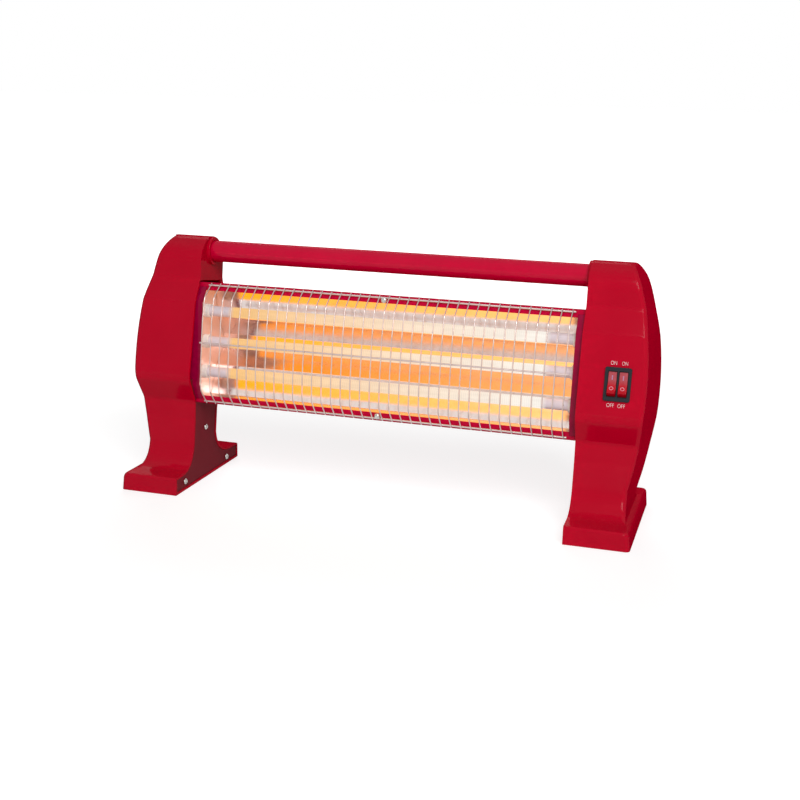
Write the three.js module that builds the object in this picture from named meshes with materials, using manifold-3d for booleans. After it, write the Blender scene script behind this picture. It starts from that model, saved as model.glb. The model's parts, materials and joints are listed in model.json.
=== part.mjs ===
// A free-standing heater with three quartz tubes in a polished trough, between two end shells that are
// also its feet. Millimetres. X runs along the tubes, Y from front to back, Z up. The origin is on the
// ground, midway between the shells and midway between the toes and the heels of the feet.
import * as THREE from "three";
import { mergeVertices } from "three/addons/utils/BufferGeometryUtils.js";
import Module from "manifold-3d";

const wasm = await Module();
wasm.setup();

// ---- Clearances ----
const GAP = 0.3; // between pieces that touch
const PIN_PLAY = 0.1; // round a rocker's pivot pin, on its radius
const STEPS = 16; // flats of a small round piece

// ---- End shells: side outline ----
const SPAN = 400.4; // between the inner faces of the shells
const WALL = 2.5;
const EDGE_RADIUS = 4.5; // long outer edges of a shell
const LEVEL_STEP = 0.35; // least height between two rings of a shell
const TOP_TRIM = 0.25; // off the very top, where the rings would close to a line
const CORNER_STEPS = 2; // of each round outer corner of a ring
const LEAN = THREE.MathUtils.degToRad(7.3); // body and leg lean back
const LEAN_FOOT_Z = 97; // the leaning centre-line crosses Y = 0 here
const FOOT_DEPTH = 153.2;
const TOE_HEIGHT = 18.5;
const HEEL_HEIGHT = 16.6;
const TOE_RADIUS = 3.2;
const INSTEP_FLAT = 16; // flat top of the toe, and 20 of the heel
const HEEL_FLAT = 20;
const LEG_HALF = 27.6; // half depths, from the centre-line, and their heights on the front
const LEG_LOW_Z = 44;
const LEG_MID_Z = 70;
const KNEE_Z = 89;
const KNEE_HALF = 29.4;
const BELLY_Z = 112;
const BELLY_HALF = 44.2;
const CHEST_Z = 124; // the front face is flat from here up to the shoulder
const CHEST_HALF = 45.4;
const SHOULDER_Z = 194;
const SHOULDER_HALF = 38.3;
const COLLAR_Z = 217;
const NECK_HALF = 27.2;
const ARCH_Z = 230; // centre of the round top

// ---- End shells: outer side, as distances from the inner face ----
const FOOT_WIDTH = 63;
const LEG_WIDTH = 52.8;
const BODY_WIDTH = 64.8;
const NECK_WIDTH = 51.3;
const TOP_WIDTH = 39.8;
const BODY_WIDEST_Z = 147;
const NECK_SIDE_Z = 235;
// How much further out the side's rear edge is than its front edge.
const FLARE = 6.5;
const FLARE_FULL_Z = 45;
const FLARE_FADE_Z = 106;
const FLARE_TOP = 2;

// ---- Leg covers ----
const COVER_THICKNESS = 2.2;
const COVER_RECESS = 0.6;
const COVER_PLAY = 0.5; // inside the shell's walls
const COVER_TOP_Z = 113; // in front of the casing
const COVER_BACK_Z = 84; // behind it
// Screws of a cover: the leg's one behind the centre-line, the others in from the ends of the foot.
const LEG_SCREW = { behind: 0.6, z: 55.6 };
const HEEL_SCREW = { inset: 29.6, z: 7.8 };
const TOE_SCREW = { inset: 21.6, z: 9.3 };

// ---- Screws ----
const SCREW = { headRadius: 3.1, headHeight: 1.9, shankRadius: 1.45, length: 11 };
const GUARD_SCREW_REACH = 3; // of a guard screw, behind the lip
const POST_RADIUS = 3.8;

// ---- Carrying handle ----
const HANDLE_RADIUS = 11;
const HANDLE_WALL = 1.5;
const HANDLE_Y = 18.2;
const HANDLE_Z = 241.8;
const SOCKET_DEPTH = 14;
const SOCKET_WALL = 2;
const RING_WALL = 3.2; // raised ring round the handle on the shell's inner face
const RING_HEIGHT = 3;

// ---- Heating unit: leaning frame, u from front to back, v up ----
const UNIT_Z = 148;
const CASING_REACH = 4; // into each shell
const CASING_SHEET = 1;
const CASING_HALF = 63.2; // half height at the front
const LIP_WIDTH = 8.2;
const LIP_U = -18;
const CASING_BACK_U = 40;
const CASING_BACK_HALF = 46;
const CASING_SHOULDER_U = 27;
const CASING_SHOULDER_HALF = 61.5;
const NECK_SLOT = 1.5; // between the casing's top and the shell's neck

// ---- Reflector ----
const REFLECTOR_SHEET = 0.6;
const MOUTH_HALF = 56.6; // of the reflector, just inside the lips
const SHELF = { u: 9.8, v: 56.5 }; // back edge of its flat top and bottom
const FOLD = { u: 19.4, v: 25.6 }; // where its sloping sides turn into the middle groove
const GROOVE = { u: 35.2, v: 7.6 }; // edge of the groove's flat bottom
const END_PLATE_INSET = 3.6; // of its polished ends, from the inner faces of the shells

// ---- End brackets ----
const STRIP_WIDTH = 6.9; // of its front strip that shows beside a shell
const STRIP_END_HALF = 58; // half height of the strip, and of the flat in its middle
const STRIP_U = -27;
const STRIP_HALF = 42;
const BRACKET_SHEET = 1;
const BRACKET_SCREW_U = 8;
const BRACKET_SCREW_V = 47;

// ---- Quartz tubes ----
const TUBE_RADIUS = 5.4;
const TUBE_WALL = 1;
const TUBE_U = -13;
const TUBE_RISE = 1.8; // the middle tube above the unit's middle
const TUBE_PITCH = 31.8;
const CAP_RADIUS = 7.2;
const CAP_LENGTH = 6.5;
const CAP_NECK_RADIUS = 5.2;
const CAP_NECK_END = 4; // beyond the bracket
const TUBE_SEAT = 4; // tube inside its cap
const COIL_RADIUS = 3;
const COIL_END = 15.8; // unlit length at each end of a tube, from the cap's face
const PIN_RADIUS = 1;
const PIN_REACH = 9; // beyond the cap's neck
const BUS_SHEET = 1;
const BUS_WIDTH = 9;

// ---- Wire guard ----
const WIRE_COUNT = 38;
const WIRE_INSET = 12.2; // outermost upright wires, from the inner faces of the shells
const WIRE_RADIUS = 0.65;
const RAIL_RADIUS = 0.9;
const RAIL_V = 60.5;
const MIDDLE_RAIL_V = 1.5;
const GUARD_KINK_U = -33.4;
const GUARD_KINK_V = 47.5;
const GUARD_BULGE_U = -36.2;
const WELD = 0.3; // how far crossing wires sink into each other
const WIRE_SIDES = 4;

// ---- Double rocker switch ----
const SWITCH_X = 37.1; // from the shell's inner face
const SWITCH_Z = 149.2;
const BEZEL_WIDTH = 25;
const BEZEL_HEIGHT = 32;
const BEZEL_THICKNESS = 1.8;
const HOUSING_MARGIN = 1.7; // the bezel reaches past the housing
const HOUSING_DEPTH = 17;
const ROCKER_WIDTH = 7.7;
const ROCKER_PITCH = 10.3;
const ROCKER_RADIUS = 11.9; // of its round ends, about the pivot
const ROCKER_FACE = 4.4; // pivot to the middle of its face
const ROCKER_TILT = THREE.MathUtils.degToRad(11.5);
const ROCKER_SKIRT = 3;
const ROCKER_PROUD = 0.6;
const ROCKER_PIN_RADIUS = 1.25;
const ROCKER_PIN_REACH = 0.8;
const POCKET_FLOOR = 7; // behind the pivot
const BLADE = { width: 4.8, thickness: 0.8, reach: 8, spread: 8 };

// ---- Cord inlet, terminal block and tip-over switch ----
const INLET_X = 32; // from the shell's inner face
const INLET_Z = 58;
const INLET_BORE = 4.5;
const GLAND_RADIUS = 7.2;
const GLAND_FLANGE = 10;
const GLAND_FLANGE_THICKNESS = 2.4;
const GLAND_REACH = 9; // inside the wall
const NUT_RADIUS = 10.5;
const NUT_THICKNESS = 4;
const BLOCK = { width: 24, depth: 11, height: 15, rise: 12 };
const TIP_SWITCH = { width: 18, depth: 22, height: 13, y: -8 };
const LEAD_RADIUS = 1.2;
const LEAD_PLAY = 1.3; // round a lead where it passes through a bracket
const LEAD_U = 33; // the long lead, between the reflector and the casing's back
const LEAD_V = 22;

// ---- Values worked out from the sizes above ----
const INNER_X = SPAN / 2;
const SLOPE = Math.tan(LEAN);
const centreY = (z) => (z - LEAN_FOOT_Z) * SLOPE;
const ARCH_Y = centreY(ARCH_Z) - 0.4;
const TOP_Z = ARCH_Z + NECK_HALF;
const HALF_FOOT = FOOT_DEPTH / 2;
const WIRE_SPREAD = SPAN - 2 * WIRE_INSET; // between the outermost upright wires
const COVER_SCREWS = {
  leg: [centreY(LEG_SCREW.z) + LEG_SCREW.behind, LEG_SCREW.z],
  heel: [HALF_FOOT - HEEL_SCREW.inset, HEEL_SCREW.z],
  toe: [TOE_SCREW.inset - HALF_FOOT, TOE_SCREW.z],
};

// ---- Materials ----
const finish = (color, roughness, metalness = 0) => ({ color, roughness, metalness });
const FINISH = {
  shell: finish(0xb3001f, 0.3),
  cover: finish(0x78202a, 0.6),
  handle: finish(0xc4002b, 0.35),
  casing: finish(0xa80a26, 0.4, 0.2),
  mirror: finish(0xd9d6d2, 0.12, 1),
  steel: finish(0xc8c8c6, 0.3, 1),
  ceramic: finish(0xf2ebe4, 0.6),
  quartz: finish(0xffe6c4, 0.35),
  coil: finish(0xffb060, 0.6, 0.6),
  black: finish(0x24282b, 0.45),
  rocker: finish(0xa5141e, 0.25),
  brass: finish(0xc9a24b, 0.35, 1),
  lead: finish(0xd8d4c8, 0.7),
  grey: finish(0x8e9092, 0.6),
};

function mesh(name, shape, look) {
  const geometry = shape.isBufferGeometry ? shape : toGeometry(shape);
  const made = new THREE.Mesh(geometry, new THREE.MeshStandardMaterial(look));
  made.name = name;
  return made;
}

// ---- Solids ----
function toSolid(geometry) {
  const loose = geometry.index ? geometry.toNonIndexed() : geometry;
  const bare = new THREE.BufferGeometry();
  bare.setAttribute("position", loose.getAttribute("position"));
  const merged = mergeVertices(bare, 1e-4);
  return new wasm.Manifold(
    new wasm.Mesh({
      numProp: 3,
      vertProperties: merged.attributes.position.array,
      triVerts: new Uint32Array(merged.index.array),
    }),
  );
}

function toGeometry(solid) {
  const { vertProperties, triVerts } = solid.getMesh();
  const geometry = new THREE.BufferGeometry();
  geometry.setAttribute("position", new THREE.BufferAttribute(new Float32Array(vertProperties), 3));
  geometry.setIndex(new THREE.BufferAttribute(new Uint32Array(triVerts), 1));
  geometry.computeVertexNormals();
  return geometry;
}

const join = (...shapes) => shapes.map(solidOf).reduce((whole, part) => whole.add(part));
const cut = (base, ...tools) =>
  tools.map(solidOf).reduce((whole, tool) => whole.subtract(tool), solidOf(base));
const solidOf = (shape) => (shape.isBufferGeometry ? toSolid(shape) : shape);

const alongX = new THREE.Matrix4().makeBasis(
  new THREE.Vector3(0, 1, 0),
  new THREE.Vector3(0, 0, 1),
  new THREE.Vector3(1, 0, 0),
);

// A closed [y, z] outline, drawn out along X.
function prism(outline, fromX, toX) {
  const shape = new THREE.Shape(outline.map(([y, z]) => new THREE.Vector2(y, z)));
  const solid = new THREE.ExtrudeGeometry(shape, { depth: toX - fromX, bevelEnabled: false });
  return solid.applyMatrix4(alongX).translate(fromX, 0, 0);
}

function rodX(radius, fromX, toX, y = 0, z = 0, sides = STEPS) {
  const rod = new THREE.CylinderGeometry(radius, radius, toX - fromX, sides);
  return rod.rotateZ(-Math.PI / 2).translate((fromX + toX) / 2, y, z);
}

function rodY(radius, fromY, toY, x = 0, z = 0, sides = STEPS) {
  const rod = new THREE.CylinderGeometry(radius, radius, toY - fromY, sides);
  return rod.translate(x, (fromY + toY) / 2, z);
}

function block([x0, x1], [y0, y1], [z0, z1]) {
  const solid = new THREE.BoxGeometry(x1 - x0, y1 - y0, z1 - z0);
  return solid.translate((x0 + x1) / 2, (y0 + y1) / 2, (z0 + z1) / 2);
}

// A run of points, moved sideways by the distance: to the left of its direction where it is positive.
function offset(points, distance) {
  const left = ([ax, ay], [bx, by]) => {
    const length = Math.hypot(bx - ax, by - ay);
    return [-(by - ay) / length, (bx - ax) / length];
  };
  return points.map((point, i) => {
    const before = left(points[Math.max(i - 1, 0)], points[Math.max(i, 1)]);
    const last = points.length - 1;
    const after = left(points[Math.min(i, last - 1)], points[Math.min(i + 1, last)]);
    const scale = distance / (1 + before[0] * after[0] + before[1] * after[1]);
    return [point[0] + (before[0] + after[0]) * scale, point[1] + (before[1] + after[1]) * scale];
  });
}

// A folded sheet: its outline is the run of points and the same run one thickness to the left.
const sheet = (points, thickness) => [...points, ...offset(points, thickness).reverse()];

const mirrored = (points) => points.map(([u, v]) => [u, -v]).reverse();

// ---- The leaning frame of the heating unit ----
const unit = new THREE.Group();
unit.position.set(0, 0, UNIT_Z);
unit.rotation.x = -LEAN;
unit.updateMatrixWorld(true);

// The [y, z] of a point [u, v] of the leaning frame.
function leaning([u, v]) {
  const point = unit.localToWorld(new THREE.Vector3(0, u, v));
  return [point.y, point.z];
}

// ---- Outline of an end shell, seen from the side ----
const front = (z, half) => [centreY(z) - half, z];
// The same point on the back, mirrored in the leaning centre-line.
const back = (z, half) => [centreY(z) + half * Math.cos(2 * LEAN), z - half * Math.sin(2 * LEAN)];

function sideOutline() {
  const path = new THREE.Path();
  const kneeBack = back(KNEE_Z, KNEE_HALF);
  const legBack = [centreY(LEG_MID_Z) + LEG_HALF, LEG_MID_Z];
  const heelTop = [HALF_FOOT - HEEL_FLAT, HEEL_HEIGHT + 1];
  path.moveTo(-HALF_FOOT, 0);
  path.lineTo(-HALF_FOOT, TOE_HEIGHT - TOE_RADIUS);
  path.quadraticCurveTo(-HALF_FOOT, TOE_HEIGHT - 0.3, -HALF_FOOT + TOE_RADIUS, TOE_HEIGHT);
  path.lineTo(-HALF_FOOT + INSTEP_FLAT, TOE_HEIGHT + 0.5);
  path.quadraticCurveTo(front(0, LEG_HALF - 1)[0], TOE_HEIGHT + 1, ...front(LEG_LOW_Z, LEG_HALF));
  path.lineTo(...front(LEG_MID_Z, LEG_HALF));
  path.lineTo(...front(KNEE_Z, KNEE_HALF));
  path.lineTo(...front(BELLY_Z, BELLY_HALF));
  path.quadraticCurveTo(...front((BELLY_Z + CHEST_Z) / 2, CHEST_HALF + 0.6), ...front(CHEST_Z, CHEST_HALF));
  path.lineTo(...front(SHOULDER_Z, SHOULDER_HALF));
  path.lineTo(...front(COLLAR_Z, NECK_HALF));
  path.absarc(ARCH_Y, ARCH_Z, NECK_HALF, Math.PI, 0, true);
  path.lineTo(...back(COLLAR_Z, NECK_HALF));
  path.lineTo(...back(SHOULDER_Z, SHOULDER_HALF));
  path.lineTo(...back(CHEST_Z, CHEST_HALF));
  path.lineTo(...back(BELLY_Z, BELLY_HALF));
  path.lineTo(...kneeBack);
  path.lineTo(...legBack);
  path.lineTo(centreY(LEG_LOW_Z) + LEG_HALF, LEG_LOW_Z);
  path.quadraticCurveTo(centreY(0) + LEG_HALF + 9, HEEL_HEIGHT + 3, ...heelTop);
  path.lineTo(HALF_FOOT - TOE_RADIUS, HEEL_HEIGHT);
  path.quadraticCurveTo(HALF_FOOT, HEEL_HEIGHT - 0.3, HALF_FOOT, HEEL_HEIGHT - TOE_RADIUS);
  path.lineTo(HALF_FOOT, 0);
  return path.getPoints(5).map(({ x, y }) => [x, y]);
}

// The outer side, seen from the front: [x, z] from the ground to the top.
function outerOutline() {
  const path = new THREE.Path();
  const bow = 2 * BODY_WIDTH - (LEG_WIDTH + NECK_WIDTH) / 2;
  const bowZ = 2 * BODY_WIDEST_Z - (LEG_LOW_Z + NECK_SIDE_Z) / 2;
  path.moveTo(INNER_X + FOOT_WIDTH, 0);
  path.lineTo(INNER_X + FOOT_WIDTH - 1, HEEL_HEIGHT - 2 * TOE_RADIUS);
  path.quadraticCurveTo(INNER_X + FOOT_WIDTH - 1, TOE_HEIGHT, INNER_X + LEG_WIDTH + 2, TOE_HEIGHT + 0.8);
  path.quadraticCurveTo(INNER_X + LEG_WIDTH, TOE_HEIGHT + 4, INNER_X + LEG_WIDTH, LEG_LOW_Z);
  path.quadraticCurveTo(INNER_X + bow, bowZ, INNER_X + NECK_WIDTH, NECK_SIDE_Z);
  path.quadraticCurveTo(INNER_X + NECK_WIDTH - 3, (NECK_SIDE_Z + TOP_Z) / 2, INNER_X + TOP_WIDTH, TOP_Z);
  return path.getPoints(5).map(({ x, y }) => [x, y]);
}

// Keeps the points of a run that climb, so that each height has one place on it.
const climbing = (points) =>
  points.filter(([, z], i) => points.slice(0, i).every(([, low]) => z > low + 0.01));

function valueAt(points, z) {
  const next = points.findIndex(([, high]) => high >= z);
  if (next <= 0) return next ? points.at(-1)[0] : points[0][0];
  const [[a, low], [b, high]] = [points[next - 1], points[next]];
  return a + ((b - a) * (z - low)) / (high - low);
}

const flareRun = [
  [0, TOE_HEIGHT],
  [FLARE, FLARE_FULL_Z],
  [FLARE, FLARE_FADE_Z],
  [FLARE_TOP, TOP_Z],
];

// X of the outer side of a shell at a place on it.
function outerX(runs, y, z) {
  const [y0, y1] = [valueAt(runs.front, z), valueAt(runs.back, z)];
  return valueAt(runs.outer, z) + (valueAt(flareRun, z) * (y - y0)) / (y1 - y0);
}

// The outline of a shell, or of its inside: its front, back and outer side as runs that climb.
function shellRuns(inset) {
  const side = offset(sideOutline(), -inset);
  const top = side.reduce((best, [, z], i) => (z > side[best][1] ? i : best), 0);
  return {
    front: climbing(side.slice(0, top + 1)),
    back: climbing(side.slice(top).reverse()),
    outer: climbing(offset(outerOutline(), inset)),
    top: side[top][1],
    radius: Math.max(EDGE_RADIUS - inset, 0.8),
  };
}

// Level rings with two round outer corners, from the ground up, joined into one closed surface.
function shellSolid(runs, innerX, bottom) {
  const { front: fore, back: rear, outer, radius } = runs;
  const top = runs.top - TOP_TRIM;
  const heights = [...fore, ...rear, ...outer].map(([, z]) => z).sort((a, b) => a - b);
  const inside = heights.filter((z) => z > bottom + LEVEL_STEP && z < top - LEVEL_STEP);
  const levels = [bottom, ...inside.filter((z, i) => i === 0 || z - inside[i - 1] > LEVEL_STEP), top];
  const rings = levels.map((z) => {
    const [y0, y1, x1] = [valueAt(fore, z), valueAt(rear, z), valueAt(outer, z)];
    const x2 = x1 + valueAt(flareRun, z);
    const r = Math.min(radius, (y1 - y0) / 2 - 0.05);
    const ring = [[innerX, y0]];
    for (const [cx, cy, start] of [[x1 - r, y0 + r, -Math.PI / 2], [x2 - r, y1 - r, 0]]) {
      for (let i = 0; i <= CORNER_STEPS; i++) {
        const angle = start + (i / CORNER_STEPS) * (Math.PI / 2);
        ring.push([cx + r * Math.cos(angle), cy + r * Math.sin(angle)]);
      }
    }
    ring.push([innerX, y1]);
    return ring.map(([x, y]) => [x, y, z]);
  });
  const size = rings[0].length;
  const faces = [];
  for (let i = 1; i < size - 1; i++) {
    faces.push([i + 1, i, 0]);
    const upper = (rings.length - 1) * size;
    faces.push([upper, upper + i, upper + i + 1]);
  }
  for (let k = 0; k < rings.length - 1; k++) {
    for (let i = 0; i < size; i++) {
      const [a, b] = [k * size + i, k * size + ((i + 1) % size)];
      faces.push([a, b, b + size], [a, b + size, a + size]);
    }
  }
  const geometry = new THREE.BufferGeometry();
  geometry.setAttribute("position", new THREE.Float32BufferAttribute(rings.flat(2), 3));
  geometry.setIndex(faces.flat());
  return toSolid(geometry);
}

// ---- Casing and what closes its ends ----
const CASING_X = INNER_X + CASING_REACH;
const casingRun = (() => {
  const upper = [
    [LIP_U, CASING_HALF - LIP_WIDTH],
    [LIP_U, CASING_HALF],
    [CASING_SHOULDER_U, CASING_SHOULDER_HALF],
    [CASING_BACK_U, CASING_BACK_HALF],
  ];
  return [...upper, ...mirrored(upper)];
})();
const LIP_BACK_U = LIP_U + CASING_SHEET;

// Front of the brackets: a shallow bulge in front of the lips.
const stripRun = (() => {
  const upper = [
    [LIP_U - GAP, STRIP_END_HALF],
    [STRIP_U, STRIP_HALF],
  ];
  return [...upper, ...mirrored(upper)];
})();

// A closed outline that runs clockwise, grown by the distance.
const grown = (outline, distance) => offset([...outline, outline[0], outline[1]], distance).slice(1, -1);

const casingOutline = casingRun.slice(1, -1);
// The bulge of a bracket in front of the casing, clockwise.
const bulgeOutline = [...offset(stripRun, -BRACKET_SHEET), [0, -STRIP_HALF], [0, STRIP_HALF]].reverse();

// ---- Places that several pieces share ----
const tubePlaces = { top: TUBE_PITCH, middle: 0, bottom: -TUBE_PITCH };
const tubeV = (name) => TUBE_RISE + tubePlaces[name];
const BRACKET_X = CASING_X + GAP;
const PLATE_X = INNER_X - END_PLATE_INSET;
const CAP_FACE_X = PLATE_X - GAP - CAP_LENGTH;
const CAP_END_X = BRACKET_X + BRACKET_SHEET + CAP_NECK_END;
const bracketScrews = {
  upper: [BRACKET_SCREW_U, BRACKET_SCREW_V],
  lower: [BRACKET_SCREW_U, -BRACKET_SCREW_V],
};

const shellOuter = shellRuns(0);
const shellInner = shellRuns(WALL);

const chest = front(CHEST_Z, CHEST_HALF);
const shoulder = front(SHOULDER_Z, SHOULDER_HALF);
const faceTilt = Math.atan((shoulder[0] - chest[0]) / (shoulder[1] - chest[1]));
const switchUnit = new THREE.Group();
switchUnit.position.set(INNER_X + SWITCH_X, valueAt(shellOuter.front, SWITCH_Z), SWITCH_Z);
switchUnit.rotation.x = -faceTilt;
switchUnit.updateMatrixWorld(true);

const legTilt = Math.atan(SLOPE);
const inletUnit = new THREE.Group();
inletUnit.position.set(INNER_X + INLET_X, valueAt(shellOuter.back, INLET_Z), INLET_Z);
inletUnit.rotation.x = -legTilt;
inletUnit.updateMatrixWorld(true);

const HOUSING_WIDTH = BEZEL_WIDTH - 2 * HOUSING_MARGIN;
const HOUSING_HEIGHT = BEZEL_HEIGHT - 2 * HOUSING_MARGIN;
const FACE_Y = -GAP - BEZEL_THICKNESS; // of the bezel, in front of the shell
const PIVOT_Y = FACE_Y - ROCKER_PROUD + ROCKER_FACE * Math.cos(ROCKER_TILT);
const rockerPlaces = { left: -ROCKER_PITCH / 2, right: ROCKER_PITCH / 2 };

// ---- End shells ----
function post(y, z, fromX, holeRadius, holeDepth) {
  const toX = outerX(shellOuter, y, z) - WALL / 2;
  const hole = rodX(holeRadius, fromX - 1, fromX + holeDepth, y, z);
  return cut(rodX(POST_RADIUS, fromX, toX, y, z), hole);
}

function endShell(cuts) {
  const outside = shellSolid(shellOuter, INNER_X, 0);
  const neckBlock = block([INNER_X - 2, INNER_X + WALL], [-FOOT_DEPTH, FOOT_DEPTH], [0, TOP_Z])
    .translate(0, 0, CASING_HALF + NECK_SLOT)
    .applyMatrix4(unit.matrixWorld);
  const inside = cut(shellSolid(shellInner, INNER_X - 1, WALL), neckBlock);
  const socketEnd = INNER_X + SOCKET_DEPTH + GAP + SOCKET_WALL;
  const bore = HANDLE_RADIUS + GAP;
  const socket = join(
    rodX(bore + SOCKET_WALL, INNER_X, socketEnd, HANDLE_Y, HANDLE_Z, 2 * STEPS),
    rodX(bore + RING_WALL, INNER_X - RING_HEIGHT, INNER_X + WALL, HANDLE_Y, HANDLE_Z, 2 * STEPS),
  );
  const socketBore = rodX(
    bore,
    INNER_X - RING_HEIGHT - 1,
    socketEnd - SOCKET_WALL,
    HANDLE_Y,
    HANDLE_Z,
    2 * STEPS,
  );
  const holeRadius = SCREW.shankRadius + GAP;
  const coverBack = INNER_X + COVER_RECESS + COVER_THICKNESS + GAP;
  const coverPosts = Object.values(COVER_SCREWS).map(([y, z]) =>
    post(y, z, coverBack, holeRadius, SCREW.length),
  );
  const bracketBack = BRACKET_X + BRACKET_SHEET + GAP;
  const bracketPosts = Object.values(bracketScrews).map((place) =>
    post(...leaning(place), bracketBack, holeRadius, SCREW.length),
  );
  return cut(join(cut(outside, inside), socket, ...coverPosts, ...bracketPosts), socketBore, ...cuts);
}

function legCover() {
  const low = WALL + COVER_PLAY;
  const fit = shellRuns(low);
  const between = (run, top) => [
    [valueAt(run, low), low],
    ...run.filter(([, z]) => z > low + 0.5 && z < top - 0.5),
    [valueAt(run, top), top],
  ];
  const fore = between(fit.front, COVER_TOP_Z);
  const rear = between(fit.back, COVER_BACK_Z);
  const frontV = (COVER_TOP_Z - UNIT_Z) / Math.cos(LEAN);
  const insideCasing = [leaning([0, -CASING_BACK_HALF]), leaning([LIP_U, frontV])];
  const outline = [...rear, ...insideCasing, ...fore.reverse()];
  const fromX = INNER_X + COVER_RECESS;
  const toX = fromX + COVER_THICKNESS;
  const notches = [casingOutline, bulgeOutline].map((outline) => grown(outline, GAP)).map((notch) =>
    prism(notch.map(leaning), fromX - 1, toX + 1),
  );
  const holes = Object.values(COVER_SCREWS).map(([y, z]) =>
    rodX(SCREW.shankRadius + GAP, fromX - 1, toX + 1, y, z),
  );
  return cut(prism(outline, fromX, toX), ...notches, ...holes);
}

// A round-headed screw along X: its head rests on faceX and its shank runs outwards.
function screw(faceX, y, z) {
  const profile = [
    new THREE.Vector2(0, -SCREW.headHeight),
    new THREE.Vector2(SCREW.headRadius * 0.6, -SCREW.headHeight * 0.8),
    new THREE.Vector2(SCREW.headRadius, -SCREW.headHeight * 0.25),
    new THREE.Vector2(SCREW.headRadius, 0),
    new THREE.Vector2(SCREW.shankRadius, 0),
    new THREE.Vector2(SCREW.shankRadius, SCREW.length - 1),
    new THREE.Vector2(0, SCREW.length),
  ];
  return new THREE.LatheGeometry(profile, STEPS).rotateZ(-Math.PI / 2).translate(faceX - GAP, y, z);
}

// ---- Handle ----
function handleTube() {
  const end = INNER_X + SOCKET_DEPTH;
  const inner = HANDLE_RADIUS - HANDLE_WALL;
  const tube = rodX(HANDLE_RADIUS, -end, end, 0, 0, 2 * STEPS);
  return cut(tube, rodX(inner, -end - 1, end + 1, 0, 0, 2 * STEPS));
}

// ---- Heating unit ----
function casing() {
  const shell = prism(sheet(casingRun, -CASING_SHEET), -CASING_X, CASING_X);
  const holes = [1, -1].map((side) =>
    rodY(SCREW.shankRadius + GAP, LIP_U - 1, LIP_BACK_U + 1, 0, side * guardScrewV),
  );
  return cut(shell, ...holes);
}

const reflectorRun = (() => {
  const faceU = LIP_BACK_U + GAP + REFLECTOR_SHEET;
  const upper = [
    [faceU, CASING_HALF - CASING_SHEET - GAP - 1],
    [faceU, MOUTH_HALF],
    [SHELF.u, SHELF.v],
    [FOLD.u, FOLD.v],
    [GROOVE.u, GROOVE.v],
  ];
  return [...upper, ...mirrored(upper)];
})();

function reflector() {
  const holes = [1, -1].map((side) =>
    rodY(SCREW.shankRadius + GAP, LIP_BACK_U - 1, guardScrewEnd + GAP, 0, side * guardScrewV),
  );
  return cut(prism(sheet(reflectorRun, -REFLECTOR_SHEET), -PLATE_X + GAP, PLATE_X - GAP), ...holes);
}

// A polished plate that closes one end of the reflector. Its front edge follows the bracket's strip.
function reflectorEnd() {
  const trough = reflectorRun.slice(1, -1);
  const bulge = offset(stripRun, GAP + 0.4).slice(1, -1);
  const lip = CASING_HALF - LIP_WIDTH - 2 * GAP;
  const mouth = [
    [LIP_U - 1, lip],
    [trough[0][0], lip],
  ];
  const outline = [...mouth, ...trough, ...mirrored(mouth), ...bulge.reverse()];
  const caps = Object.keys(tubePlaces).map((name) =>
    rodX(CAP_NECK_RADIUS + GAP, PLATE_X - 1, PLATE_X + 2, TUBE_U, tubeV(name)),
  );
  return cut(prism(outline, PLATE_X, PLATE_X + REFLECTOR_SHEET), ...caps);
}

// A folded sheet-metal end: a plate over the casing's end, a rim inside the casing, a strip in front.
function endBracket() {
  const toX = BRACKET_X + BRACKET_SHEET;
  const plate = join(prism(casingOutline, BRACKET_X, toX), prism(bulgeOutline, BRACKET_X, toX));
  const strip = prism(sheet(stripRun, -BRACKET_SHEET), INNER_X - STRIP_WIDTH, toX);
  const inner = offset(casingRun, -CASING_SHEET - GAP).slice(2, -2);
  const rim = prism(sheet(inner, -BRACKET_SHEET), INNER_X - 2, BRACKET_X + BRACKET_SHEET / 2);
  const caps = Object.keys(tubePlaces).map((name) =>
    rodX(CAP_NECK_RADIUS + GAP, BRACKET_X - 1, toX + 1, TUBE_U, tubeV(name)),
  );
  const screws = Object.values(bracketScrews).map(([u, v]) =>
    rodX(SCREW.shankRadius + GAP, BRACKET_X - 1, toX + 1, u, v),
  );
  const leadHole = rodX(LEAD_RADIUS + LEAD_PLAY, BRACKET_X - 1, toX + 1, LEAD_U, LEAD_V);
  return cut(join(plate, strip, rim), ...caps, ...screws, leadHole);
}

function tube(v) {
  const end = CAP_FACE_X + TUBE_SEAT;
  const bore = TUBE_RADIUS - TUBE_WALL;
  return cut(rodX(TUBE_RADIUS, -end, end, TUBE_U, v), rodX(bore, -end - 1, end + 1, TUBE_U, v));
}

function cap(v) {
  const seat = CAP_FACE_X + TUBE_SEAT + GAP;
  return cut(
    join(
      rodX(CAP_RADIUS, CAP_FACE_X, CAP_FACE_X + CAP_LENGTH, TUBE_U, v),
      rodX(CAP_NECK_RADIUS, CAP_FACE_X + CAP_LENGTH - 1, CAP_END_X, TUBE_U, v),
    ),
    rodX(TUBE_RADIUS + GAP, CAP_FACE_X - 1, seat, TUBE_U, v),
    rodX(PIN_RADIUS + GAP, seat - 1, CAP_END_X + 1, TUBE_U, v, 8),
  );
}

// The coil's outer shape, with the pins that lead through the caps.
function coil(v) {
  const end = CAP_FACE_X - COIL_END;
  const pin = CAP_END_X + PIN_REACH;
  return join(rodX(COIL_RADIUS, -end, end, TUBE_U, v, 12), rodX(PIN_RADIUS, -pin, pin, TUBE_U, v, 8));
}

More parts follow.
